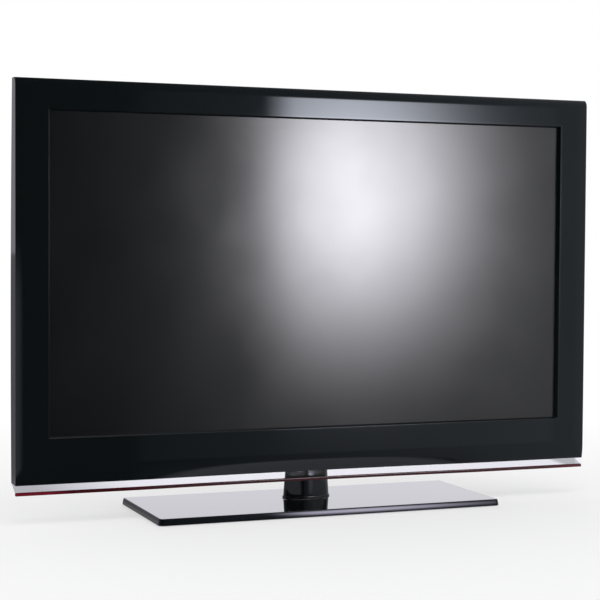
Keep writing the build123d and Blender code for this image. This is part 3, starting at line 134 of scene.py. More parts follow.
class StandSizes(bpy.types.PropertyGroup):
    """Sizes of the neck, its collar, the base and its feet."""

    taper_height: a_length("Taper height", "Height over which the neck narrows", 45.0 * MM)
    taper_width: a_length("Taper", "How much the neck narrows on each side", 3.0 * MM)
    taper_depth: a_length("Taper in depth", "How much it narrows at front and back", 2.5 * MM)
    neck_wall: a_length("Neck wall", "Thickness of the neck cover", 2.5 * MM)
    collar_edge: a_length("Collar edge", "Radius of the collar's upper edge", 0.9 * MM)
    collar_width: a_length("Collar width", "Width of the collar ring", 5.2 * MM)
    skirt_low: an_angle("Skirt lean at the foot", "How far the skirt leans there", 2)
    skirt_high: an_angle("Skirt lean at the top", "How far the skirt leans there", 17)
    base_corner: a_length("Base corner", "Corner radius of the base in plan", 8.0 * MM)
    base_edge: a_length("Base edge", "Height of the base's rounded upper edge", 1.4 * MM)
    base_wall: a_length("Base wall", "Thickness of the base cover", 2.5 * MM)
    pivot_hole: a_length("Pivot hole", "Radius of the hole for the swivel", 14.2 * MM)
    foot_radius: a_length("Foot radius", "Radius of the rubber feet", 10.0 * MM)
    foot_rings: bpy.props.IntProperty(
        name="Foot rings", description="Grip rings under each foot", default=3, min=1)


class DetailSizes(bpy.types.PropertyGroup):
    """Sizes of the keys, sockets and screws."""

    key_edge: a_length("Key edge", "Softness of the key caps", 0.5 * MM)
    mark_rise: a_length("Mark height", "How far the marks stand on the key caps", 0.12 * MM)
    mark_line: a_length("Mark line", "Width of the lines of the marks", 0.55 * MM)
    power_ring: a_length("Power ring", "Inner radius of the power key's ring", 1.6 * MM)
    screw_recess: a_length("Screw recess", "Width of the cross recess", 0.9 * MM)
    phono_barrel: a_length("Phono barrel", "Radius of the phono sockets", 4.15 * MM)
    collar_reach: a_length("Socket collar", "Width of the coloured collars", 2.4 * MM)
    contact_width: a_length("Contact width", "Width of the thin contacts", 0.5 * MM)


class Colours(bpy.types.PropertyGroup):
    """Colours that a user would change."""

    gloss: a_colour("Gloss moulding", "Colour of the bezel, neck and base", 0.0032, 0.0052, 0.0058)
    screen: a_colour("Screen", "Colour of the dark screen", 0.0038, 0.0050, 0.0060)
    red: a_colour("Red strip", "Colour of the lower strip", 0.10, 0.004, 0.010)
    clear: a_colour("Clear strip", "Tint of the clear strip", 0.985, 0.985, 1.0)
    matt: a_colour("Rear cover", "Colour of the rear cover", 0.022, 0.022, 0.024)
    mark: a_colour("Marks", "Colour of the marks on the keys", 0.42, 0.42, 0.43)


class StageSizes(bpy.types.PropertyGroup):
    """Camera, floor and lights."""

    azimuth: an_angle("Azimuth", "Direction from which the set is seen", -21.315)
    elevation: an_angle("Elevation", "Angle at which the camera looks down", 2.204)
    roll: an_angle("Roll", "Turn of the camera about its view", 0.339)
    focal: a_number("Focal length", "Lens in millimetres for a 36 mm sensor", 95.95, 1)
    place: a_place("Camera place", "Where the camera stands", -0.97401, -2.44111, 0.44084)
    floor_radius: a_length("Floor radius", "Radius of the floor", 40.0)
    floor_colour: a_colour("Floor", "Colour of the pale floor", 0.92, 0.92, 0.925)
    through: a_number("Floor through trim", "Brightness seen through the trim's ends", 0.55)
    tint: a_colour("Light tint", "Colour of what the gloss mirrors", 0.945, 0.935, 1.0)
    box_distance: a_length("Softbox distance", "How far in front the softbox stands", 2.44)
    box_left: a_length("Softbox left", "Left edge of the softbox", 0.374)
    box_right: a_length("Softbox right", "Right edge of the softbox", 1.84)
    box_bottom: a_length("Softbox bottom", "Lower edge of the softbox", -0.29)
    box_top: a_length("Softbox top", "Upper edge of the softbox", 1.5)
    core: a_number("Core glow", "Glow in the middle of the softbox", 16.0)
    core_place: a_place("Core place", "Middle of the glow, across and up", 1.08, 0.60)
    core_reach: a_place("Core reach", "Reach of the glow, across and up", 0.365, 0.42)
    core_fall: a_number("Core fall", "How sharply the glow falls off", 1.2, 0.5)
    core_edge: a_place("Core edge", "Where the glow starts, and where it is full", 0.78, 0.88)
    panel_left: a_number("Left glow", "Glow at the left edge of the softbox", 0.13)
    panel_right: a_number("Right glow", "Glow at the right edge of the softbox", 0.54)
    ceiling: a_number("Ceiling glow", "Glow that gloss sees overhead", 7.0)
    room: a_number("Room light", "Even light of the room", 0.45)


SIZE_GROUPS = {
    "tv_shell": ShellSizes,
    "tv_trim": TrimSizes,
    "tv_stand": StandSizes,
    "tv_detail": DetailSizes,
    "tv_colours": Colours,
    "tv_stage": StageSizes,
}


def sizes(group):
    """The settings of one group in the open scene."""
    return getattr(bpy.context.scene, group)


# Nodes

def feed(tree, socket, value):
    """Link another node's output to an input, or set the input's own value."""
    if isinstance(value, bpy.types.NodeSocket):
        tree.links.new(value, socket)
    elif socket.type == "RGBA":
        socket.default_value = (*value, 1.0)
    else:
        socket.default_value = value


def add_node(tree, kind, *values, setup=None, **inputs):
    """New node. values feed its first inputs in turn, the others go by name."""
    made = tree.nodes.new(kind)
    for setting, value in (setup or {}).items():
        setattr(made, setting, value)
    for socket, value in zip(made.inputs, values):
        feed(tree, socket, value)
    for label, value in inputs.items():
        feed(tree, made.inputs[label.replace("_", " ")], value)
    return made


def empty_tree(block, output):
    """Cleared node tree of a material or world, and its output's surface socket."""
    block.use_nodes = True
    tree = block.node_tree
    tree.nodes.clear()
    return tree, tree.nodes.new(output).inputs["Surface"]


def axes_of(tree, space="Object"):
    """Sockets X, Y and Z of the place in object coordinates or another space."""
    place = add_node(tree, "ShaderNodeTexCoord").outputs[space]
    return add_node(tree, "ShaderNodeSeparateXYZ", place).outputs


def value_of(tree, operation, *values):
    """Result of a maths node on sockets or numbers."""
    node = add_node(tree, "ShaderNodeMath", *values, setup={"operation": operation})
    return node.outputs["Value"]


def noise(tree, scale, detail=3.0, stretch=WHITE):
    """Noise on object coordinates, in cycles per metre. Returns its value."""
    place = add_node(tree, "ShaderNodeTexCoord").outputs["Object"]
    place = add_node(tree, "ShaderNodeMapping", Vector=place, Scale=stretch).outputs["Vector"]
    return add_node(tree, "ShaderNodeTexNoise", Vector=place, Scale=scale,
                    Detail=detail).outputs["Fac"]


def spread(tree, value, low, high, start=0.3, end=0.7):
    """Maps a value from start..end to low..high."""
    return add_node(tree, "ShaderNodeMapRange", Value=value, From_Min=start, From_Max=end,
                    To_Min=low, To_Max=high).outputs["Result"]


def blended(tree, value, first, second):
    """Colour that runs from first to second as value goes from 0 to 1."""
    mix = add_node(tree, "ShaderNodeMix", setup={"data_type": "RGBA"}, Factor=value, A=first,
                   B=second)
    return mix.outputs["Result"]


def mixed(tree, factor, first, second):
    """Shader that runs from first to second."""
    return add_node(tree, "ShaderNodeMixShader", factor, first, second).outputs["Shader"]


def glow_shader(tree, kind, colour, strength):
    """Emission or background of a colour. strength is a number or a socket."""
    return add_node(tree, kind, Color=colour, Strength=strength).outputs[0]


# Finishes

def bump(tree, shader, height, distance, normal=None):
    """Bump on the shader, distance in metres, over a given normal."""
    relief = add_node(tree, "ShaderNodeBump", Distance=distance, Height=height)
    if normal:
        feed(tree, relief.inputs["Normal"], normal)
    feed(tree, shader.inputs["Normal"], relief.outputs["Normal"])


def edge_wear(tree, soft):
    """Value near 1 on an edge and 0 on flats, from a normal with rounded edges."""
    flat = add_node(tree, "ShaderNodeNewGeometry").outputs["Normal"]
    dot = add_node(tree, "ShaderNodeVectorMath", soft, flat, setup={"operation": "DOT_PRODUCT"})
    return spread(tree, dot.outputs["Value"], 1.0, 0.0, 0.86, 0.99)


def dress(tree, shader, colour, rough, metal=0.0, coat=0.0, shade=0.12, patch=9.0, grain=None,
          stretch=WHITE, wear=None, ior=1.5, clear=0.0, mirror=WHITE, pattern=None):
    """Give a shader patchy colour, patchy roughness, a fine grain and worn edges.

    colour is a colour or the name of one of the settings, rough is (least, most), shade how
    much the colour varies, patch and grain[0] cycles per metre, grain[1] a depth in metres,
    wear (radius in metres, colour) for edges, mirror a tint of what the surface reflects,
    and pattern a function that paints more.
    """
    if isinstance(colour, str):
        colour = getattr(sizes("tv_colours"), colour)
    tint = blended(tree, spread(tree, noise(tree, patch, 4.0, stretch), 0.0, 1.0),
                   [part * (1 - shade) for part in colour],
                   [min(1.0, part * (1 + shade)) for part in colour])
    soft = None
    if wear:
        radius, worn = wear
        soft = add_node(tree, "ShaderNodeBevel", setup={"samples": 4}, Radius=radius)
        soft = soft.outputs["Normal"]
        tint = blended(tree, edge_wear(tree, soft), tint, worn)
    if grain:
        bump(tree, shader, noise(tree, grain[0], 2.0, stretch), grain[1], soft)
    dullness = spread(tree, noise(tree, patch * 3.1, 5.0, stretch), *rough)
    for label, value in (("Base Color", tint), ("Roughness", dullness), ("Metallic", metal),
                         ("IOR", ior), ("Coat Weight", coat), ("Transmission Weight", clear),
                         ("Specular Tint", mirror)):
        feed(tree, shader.inputs[label], value)
    if pattern:
        pattern(tree, shader, colour)


def red_painted_glow_ends(tree, shader, colour):
    """Deep red with a painted glow at its two ends, more at the left one: the base colour is
    lighter there, standing in for light let in through the ends.
    """
    across = axes_of(tree)["X"]
    # Painted glow: share of the lighter red, full at the left end and up to 0.3 at the right one
    glow = value_of(tree, "MAXIMUM", spread(tree, across, 1.0, 0.0, -0.445, -0.405),
                    spread(tree, across, 0.0, 0.3, 0.43, 0.47))
    dark, bright = ([share * part for part in colour] for share in (0.5, 1.7))
    feed(tree, shader.inputs["Base Color"], blended(tree, glow, dark, bright))


def board_tracks(tree, shader, colour):
    """Solder mask with straight tracks and pale pads."""
    place = add_node(tree, "ShaderNodeTexCoord").outputs["Object"]
    place = add_node(tree, "ShaderNodeMapping", Vector=place,
                     Rotation=(math.radians(90), 0.0, 0.0)).outputs["Vector"]
    brick = add_node(tree, "ShaderNodeTexBrick", Vector=place, Scale=90.0, Mortar_Size=0.06,
                     Color1=colour, Color2=(0.014, 0.13, 0.045), Mortar=(0.03, 0.2, 0.08))
    pads = add_node(tree, "ShaderNodeTexVoronoi", Vector=place, Scale=210.0)
    pad = spread(tree, pads.outputs["Distance"], 1.0, 0.0, 0.10, 0.14)
    feed(tree, shader.inputs["Base Color"],
         blended(tree, pad, brick.outputs["Color"], (0.55, 0.53, 0.48)))
    feed(tree, shader.inputs["Roughness"], spread(tree, noise(tree, 60.0), 0.25, 0.4))
    bump(tree, shader, brick.outputs["Fac"], 0.00004)


def moulding(*colour, rough=(0.38, 0.5), depth=0.000012):
    """Finish of plain moulded plastic in one colour."""
    return {"colour": colour, "rough": rough, "patch": 35.0, "grain": (1500.0, depth)}


FINISHES = {
    # Piano gloss of the bezel: near black, with a faint ripple and a few dull smears
    "gloss_black": dict(colour="gloss", rough=(0.035, 0.075), shade=0.1, patch=5.0,
                        grain=(900.0, 0.0000012), mirror=(0.88, 0.94, 1.0)),
    # The base's top, with a clear coat that mirrors more at a low angle
    "lacquer_black": dict(colour="gloss", rough=(0.04, 0.09), coat=1.0, patch=6.0,
                          grain=(900.0, 0.000001)),
    # The base's rim: the same gloss with a dimmer, bluer mirror tint, painted shade that keeps the
    # rim darker than the top
    "rim_black": dict(colour="gloss", rough=(0.05, 0.09), shade=0.1, patch=5.0,
                      grain=(900.0, 0.0000012), mirror=(0.62, 0.60, 0.70)),
    # Dark film with a satin gloss that blurs what it mirrors
    "screen_film": dict(colour="screen", rough=(0.13, 0.17), shade=0.05, patch=3.0, ior=1.7),
    # Polished clear strip, thin enough to bend the light behind it little
    "clear_acrylic": dict(colour="clear", rough=(0.02, 0.05), shade=0.01, patch=12.0,
                          ior=1.03, clear=1.0, coat=1.0),
    # Red strip, with a painted glow at its two ends
    "red_gloss": dict(colour="red", rough=(0.08, 0.16), coat=0.5, patch=7.0,
                      grain=(700.0, 0.000002), pattern=red_painted_glow_ends),
    # Spark textured moulding of the rear cover, a little polished on its edges
    "matt_black": dict(colour="matt", rough=(0.5, 0.6), shade=0.08, patch=14.0,
                       grain=(2600.0, 0.00003), wear=(0.0009, (0.05, 0.05, 0.053))),
    # Black chrome of the collar, which only glints where it is seen edge on
    "dark_chrome": dict(colour=(0.10, 0.10, 0.105), rough=(0.12, 0.2), metal=1.0, shade=0.06,
                        patch=40.0),
    # Zinc plated sheet with a pale spangle
    "zinc_steel": dict(colour=(0.56, 0.57, 0.58), rough=(0.26, 0.44), metal=1.0, shade=0.16,
                       patch=70.0, grain=(500.0, 0.00001), wear=(0.0008, (0.75, 0.76, 0.77))),
    # Plated shells of the sockets
    "nickel": dict(colour=(0.62, 0.61, 0.58), rough=(0.18, 0.32), metal=1.0, shade=0.1,
                   patch=120.0, grain=(1500.0, 0.000004), wear=(0.0004, (0.8, 0.79, 0.75))),
    "gold_contact": dict(colour=(0.83, 0.62, 0.27), rough=(0.16, 0.28), metal=1.0, patch=200.0),
    # Oxide of the screws, bright where a driver has rubbed
    "black_oxide": dict(colour=(0.035, 0.035, 0.038), rough=(0.3, 0.46), metal=0.6,
                        patch=150.0, wear=(0.0003, (0.22, 0.22, 0.23))),
    # Matt painted sheet of the connector plate
    "black_paint": dict(colour=(0.03, 0.03, 0.032), rough=(0.42, 0.55), patch=30.0,
                        grain=(1900.0, 0.00001), wear=(0.0004, (0.12, 0.12, 0.12))),
    "circuit_board": dict(colour=(0.012, 0.10, 0.035), rough=(0.25, 0.4),
                          pattern=board_tracks),
    "fin_aluminium": dict(colour=(0.72, 0.73, 0.74), rough=(0.3, 0.42), metal=1.0, patch=60.0,
                          grain=(900.0, 0.00001), stretch=(1.0, 1.0, 0.1)),
    "rubber": dict(colour=(0.025, 0.025, 0.026), rough=(0.6, 0.75), patch=60.0,
                   grain=(2200.0, 0.00002)),
    "mark_ink": dict(moulding(), colour="mark"),
    "key_satin": moulding(0.035, 0.035, 0.038, rough=(0.22, 0.32), depth=0.000004),
    "lamp_glass": moulding(0.86, 0.87, 0.86, rough=(0.06, 0.12), depth=0.000001),
    "capacitor_sleeve": moulding(0.02, 0.025, 0.05, rough=(0.2, 0.3)),
    "ferrite": moulding(0.08, 0.08, 0.085, rough=(0.5, 0.7)),
    "wound_core": moulding(0.30, 0.2, 0.04, rough=(0.4, 0.6)),
    "ribbon_film": moulding(0.75, 0.72, 0.62, rough=(0.3, 0.4)),
    "blue_plastic": moulding(0.015, 0.06, 0.36),
    "inlet_plastic": moulding(0.018, 0.018, 0.018),
    "dark_moulding": moulding(0.03, 0.03, 0.035),
    "switch_body": moulding(0.05, 0.05, 0.05),
    "white_sheet": moulding(0.85, 0.86, 0.86),
    "white_moulding": moulding(0.78, 0.78, 0.75),
    "nylon": moulding(0.78, 0.77, 0.72),
    "tongue_plastic": moulding(0.02, 0.02, 0.021),
    "tongue_white": moulding(0.68, 0.68, 0.66),
    "phono_green": moulding(0.02, 0.24, 0.06),
    "phono_blue": moulding(0.02, 0.06, 0.36),
    "phono_red": moulding(0.40, 0.015, 0.015),
    "phono_white": moulding(0.72, 0.72, 0.69),
}


# The finish of each CAD node that keeps its own shape
NODE_FINISHES = {
    "matt_black": ["rear_cover"],
    "black_paint": ["connector_plate"],
    "zinc_steel": ["panel_frame", "backlight_tray", "panel_clamps", "wall_mount_posts",
                   "stand_bracket", "neck_core", "weight_plate", "retaining_disc",
                   "timing_shield", "board_standoffs"],
    "nickel": ["tuner_can", "hdmi_sockets", "usb_socket", "aerial_socket", "inlet_blades",
               "phono_sockets"],
    "blue_plastic": ["pc_socket"],
    "inlet_plastic": ["mains_inlet", "headphone_socket"],
    "circuit_board": ["driver_boards", "power_board", "inverter_board", "main_board",
                      "timing_board", "side_board", "sensor_board"],
    "dark_moulding": ["mould_frame", "speaker_boxes"],
    "capacitor_sleeve": ["capacitors"],
    "switch_body": ["key_switches"],
    "ferrite": ["speaker_magnets"],
    "wound_core": ["transformers"],
    "white_sheet": ["optical_sheets", "diffuser_plate", "reflector_sheet"],
    "white_moulding": ["lamp_holders"],
    "ribbon_film": ["signal_ribbon"],
    "lamp_glass": ["lamp_tubes"],
    "fin_aluminium": ["heat_sinks"],
    "nylon": ["swivel_bush"],
}


def finish(name):
    """Material of one finish in the table, made on its first use."""
    label = f"{name}_finish"
    if label not in bpy.data.materials:
        tree, surface = empty_tree(bpy.data.materials.new(label), "ShaderNodeOutputMaterial")
        shader = add_node(tree, "ShaderNodeBsdfPrincipled")
        feed(tree, surface, shader.outputs["BSDF"])
        dress(tree, shader, **FINISHES[name])
    return bpy.data.materials[label]


def give_finish(node, name):
    """Put a finish in every material slot of a CAD node."""
    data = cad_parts[node].data
    if not data.materials:
        data.materials.append(None)
    for i in range(len(data.materials)):
        data.materials[i] = finish(name)


# Meshes

def as_form(mesh):
    """Bmesh of a mesh."""
    form = bmesh.new()
    form.from_mesh(mesh)
    return form


def as_mesh(form, name):
    """Mesh of a bmesh, which is freed."""
    mesh = bpy.data.meshes.new(name)
    form.to_mesh(mesh)
    form.free()
    return mesh


def merged(node):
    """Bmesh of a CAD node with its double points merged."""
    form = as_form(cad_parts[node].data)
    bmesh.ops.remove_doubles(form, verts=form.verts, dist=2e-6)
    return form


def closed_mesh(form, name):
    """Mesh of a bmesh with its faces turned outward."""
    bmesh.ops.remove_doubles(form, verts=form.verts, dist=1e-7)
    bmesh.ops.recalc_face_normals(form, faces=form.faces)
    return as_mesh(form, name)


def joined(forms, name):
    """One mesh out of several bmeshes."""
    whole = bmesh.new()
    for form in forms:
        bmesh.ops.recalc_face_normals(form, faces=form.faces)
        part = as_mesh(form, name)
        whole.from_mesh(part)
        bpy.data.meshes.remove(part)
    return as_mesh(whole, name)


def shown(name, data):
    """Object in the scene that holds some data."""
    thing = bpy.data.objects.new(name, data)
    bpy.context.scene.collection.objects.link(thing)
    return thing


def applied(holder):
    """Mesh of an object after its modifiers. The object is removed."""
    graph = bpy.context.evaluated_depsgraph_get()
    graph.update()
    result = bpy.data.meshes.new_from_object(holder.evaluated_get(graph))
    bpy.data.objects.remove(holder)
    return result


def modified(mesh, *modifiers):
    """Mesh after modifiers, each given as (type, {setting: value})."""
    holder = shown(mesh.name, mesh)
    for kind, settings in modifiers:
        modifier = holder.modifiers.new(kind.lower(), kind)
        for setting, value in settings.items():
            setattr(modifier, setting, value)
    return applied(holder)


def bevel(width, segments=2, angle=35.0):
    """Bevel modifier that softens edges sharper than an angle."""
    return ("BEVEL", {"width": width, "segments": segments, "limit_method": "ANGLE",
                      "angle_limit": math.radians(angle), "use_clamp_overlap": False})


def smoothed(mesh, angle=32.0):
    """Smooth shading with hard edges past an angle in degrees and true normals on flats."""
    mesh.shade_smooth()
    mesh.set_sharp_from_angle(angle=math.radians(angle))
    return modified(mesh, ("WEIGHTED_NORMAL", {"keep_sharp": True}))


def corners_of(verts):
    """Lower and upper corner of the box round some vertices."""
    return tuple(Vector([pick(vert.co[i] for vert in verts) for i in range(3)])
                 for pick in (min, max))


def islands(node):
    """Corners of each separate solid in a CAD node, from left to right."""
    form = merged(node)
    left = set(form.verts)
    found = []
    while left:
        reached = [left.pop()]
        for vert in reached:
            for edge in vert.link_edges:
                other = edge.other_vert(vert)
                if other in left:
                    left.remove(other)
                    reached.append(other)
        found.append(corners_of(reached))
    form.free()
    return sorted(found, key=lambda box: tuple(box[0]))


def middle_and_high(node):
    """Middle of the box of a CAD node and its highest corner."""
    low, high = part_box(node)
    return (low + high) / 2, high


def kept_inside(mesh, low, high):
    """The mesh with the points that stand out of a box moved onto it."""
    form = as_form(mesh)
    moved = []
    for vert in form.verts:
        place = Vector([min(max(vert.co[i], low[i]), high[i]) for i in range(3)])
        if (place - vert.co).length > 1e-7:
            vert.co = place
            moved.append(vert)
    bmesh.ops.remove_doubles(form, verts=moved, dist=5e-6)
    form.to_mesh(mesh)
    form.free()
    return mesh


def ellipse(centre, half_x, half_y, z, count):
    """Loop of points on an ellipse that lies flat at height z."""
    turns = [2 * math.pi * i / count for i in range(count)]
    return [(centre[0] + half_x * math.cos(turn), centre[1] + half_y * math.sin(turn), z)
            for turn in turns]


def rounded_rectangle(half_x, half_y, corner, z, steps=12):
    """Loop of points on a rectangle with rounded corners at height z."""
    points = []
    for quarter, (sx, sy) in enumerate(((1, 1), (-1, 1), (-1, -1), (1, -1))):
        for i in range(steps + 1):
            turn = math.pi / 2 * (quarter + i / steps)
            points.append((sx * (half_x - corner) + corner * math.cos(turn),
                           sy * (half_y - corner) + corner * math.sin(turn), z))
    return points


def arc_steps(start, end, count):
    """Evenly spaced angles, both ends included. Takes degrees, gives radians."""
    return [math.radians(start + (end - start) * i / count) for i in range(count + 1)]


def skin(form, first, second, closed=True):
    """Faces between two rows of vertices."""
    for i in range(len(first) if closed else len(first) - 1):
        j = (i + 1) % len(first)
        form.faces.new((first[i], first[j], second[j], second[i]))


def rings(loops, closed=False, caps=True):
    """Skin over loops of points. closed joins the last loop to the first."""
    form = bmesh.new()
    rows = [[form.verts.new(point) for point in loop] for loop in loops]
    for low, high in zip(rows, rows[1:] + rows[:1] if closed else rows[1:]):
        skin(form, low, high)
    if caps and not closed:
        form.faces.new(rows[0])
        form.faces.new(rows[-1])
    return form


def lathe(profile, origin, direction, count=32):
    """Closed turned form. profile holds (radius, distance along direction)."""
    turn = Vector(direction).to_track_quat("Z", "Y")
    return rings([[Vector(origin) + turn @ Vector(point)
                   for point in ellipse((0.0, 0.0), radius, radius, along, count)]
                  for radius, along in profile], closed=True)


def washer(inner, outer, thickness, origin, direction, count=32):
    """Flat ring that stands on its origin."""
    return lathe([(inner, 0.0), (outer, 0.0), (outer, thickness), (inner, thickness)],
                 origin, direction, count)


def add_piece(name, mesh, paint, stands_for=(), body="head"):
    """Shown piece with a finish that rides on a body and may stand for CAD nodes."""
    piece = shown(name, mesh)
    piece.data.materials.clear()
    piece.data.materials.append(finish(paint))
    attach(piece, body)
    if stands_for:
        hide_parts(*stands_for)
    return piece


def add_forms(name, paint, forms, stands_for=(), body="head"):
    """Piece made of several bmeshes."""
    add_piece(name, smoothed(joined(forms, name)), paint, stands_for, body)


# Geometry Nodes

def spot_tree(name, inputs, build_copy):
    """Tree that puts a copy of one form on each vertex of the object, turned by Turn.

    inputs holds (name, socket type). build_copy(tree, sockets) returns the form's geometry.
    """
    if name in bpy.data.node_groups:
        return bpy.data.node_groups[name]
    tree = bpy.data.node_groups.new(name, "GeometryNodeTree")
    for label, kind in (("Spots", "Geometry"), *inputs, ("Turn", "Vector"),
                        ("Finish", "Material")):
        tree.interface.new_socket(label, in_out="INPUT", socket_type=f"NodeSocket{kind}")
    tree.interface.new_socket("Copies", in_out="OUTPUT", socket_type="NodeSocketGeometry")
    entry = add_node(tree, "NodeGroupInput").outputs
    turn = add_node(tree, "FunctionNodeEulerToRotation", entry["Turn"]).outputs["Rotation"]
    copies = add_node(tree, "GeometryNodeInstanceOnPoints", Points=entry["Spots"],
                      Instance=build_copy(tree, entry), Rotation=turn).outputs["Instances"]
    real = add_node(tree, "GeometryNodeRealizeInstances", copies).outputs["Geometry"]
    painted = add_node(tree, "GeometryNodeSetMaterial", Geometry=real,
                       Material=entry["Finish"]).outputs["Geometry"]
    add_node(tree, "NodeGroupOutput", painted)
    return tree


def bar_form(tree, sockets):
    """A block of the size that the input gives."""
    return add_node(tree, "GeometryNodeMeshCube", sockets["Bar Size"]).outputs["Mesh"]


def pin_form(tree, sockets):
    """A round pin along its own Z."""
    return add_node(tree, "GeometryNodeMeshCylinder", Vertices=20, Radius=sockets["Radius"],
                    Depth=sockets["Length"]).outputs["Mesh"]


def screw_form(tree, sockets):
    """A pan head screw: head, shank and a cross recess in the head, along its own Z."""

    def raised(geometry, distance, share):
        """Geometry moved along Z by a share of a distance."""
        height = value_of(tree, "MULTIPLY", distance, share)
        way = add_node(tree, "ShaderNodeCombineXYZ", Z=height).outputs["Vector"]
        return add_node(tree, "GeometryNodeTransform", Geometry=geometry,
                        Translation=way).outputs["Geometry"]

    radius, height = sockets["Head Radius"], sockets["Head Height"]
    top = value_of(tree, "MULTIPLY", radius, 0.62)
    form = add_node(tree, "GeometryNodeMeshCone", Vertices=32, Radius_Bottom=radius,
                    Radius_Top=top, Depth=height).outputs["Mesh"]
    # The two arms of the cross stand at different heights, so that no faces coincide
    for x, y, share in ((radius, sockets["Recess"], 0.9), (sockets["Recess"], radius, 0.94)):
        size = add_node(tree, "ShaderNodeCombineXYZ", x, y, height).outputs["Vector"]
        arm = add_node(tree, "GeometryNodeMeshCube", size).outputs["Mesh"]
        form = add_node(tree, "GeometryNodeMeshBoolean", form, raised(arm, height, share),
                        setup={"operation": "DIFFERENCE"}).outputs["Mesh"]
    shank = add_node(tree, "GeometryNodeMeshCylinder", Vertices=20,
                     Radius=sockets["Shank Radius"], Depth=sockets["Shank Length"])
    both = add_node(tree, "GeometryNodeJoinGeometry", form)
    feed(tree, both.inputs["Geometry"],
         raised(shank.outputs["Mesh"], sockets["Shank Length"], -0.5))
    return both.outputs["Geometry"]


TREES = {
    "bars": ([("Bar Size", "Vector")], bar_form),
    "pins": ([("Radius", "Float"), ("Length", "Float")], pin_form),
    "screws": ([(label, "Float") for label in
                ("Head Radius", "Head Height", "Recess", "Shank Radius", "Shank Length")],
               screw_form),
}


def on_spots(kind, spots, name, paint, turn=(0.0, 0.0, 0.0), **values):
    """Mesh of one form on each spot, made by the tree of that kind."""
    tree = spot_tree(f"tv_{kind}", *TREES[kind])
    mesh = bpy.data.meshes.new(name)
    mesh.from_pydata([tuple(spot) for spot in spots], [], [])
    holder = shown(name, mesh)
    modifier = holder.modifiers.new(kind, "NODES")
    modifier.node_group = tree
    given = {label.replace("_", " "): value for label, value in values.items()}
    given.update({"Turn": turn, "Finish": finish(paint)})
    for item in tree.interface.items_tree:
        if item.in_out == "INPUT" and item.name in given:
            modifier[item.identifier] = given[item.name]
    return smoothed(applied(holder))


def add_bars(name, paint, spots, size):
    """Piece of like blocks on the head."""
    add_piece(name, on_spots("bars", spots, name, paint, Bar_Size=size), paint)


# The bezel

def soft_max(first, second, power=2.4):
    """Larger of two depths, with a soft change from one to the other."""
    return (first**power + second**power) ** (1 / power)


def roll_share(s, x):
    """Share of the lower roll's depth at x: all of it in the middle, little at the ends."""
    share = 1 - 0.5 * (x / s.bottom_roll_reach) ** 2
    return soft_max(max(share, 0.0), s.bottom_roll_end, 6.0)


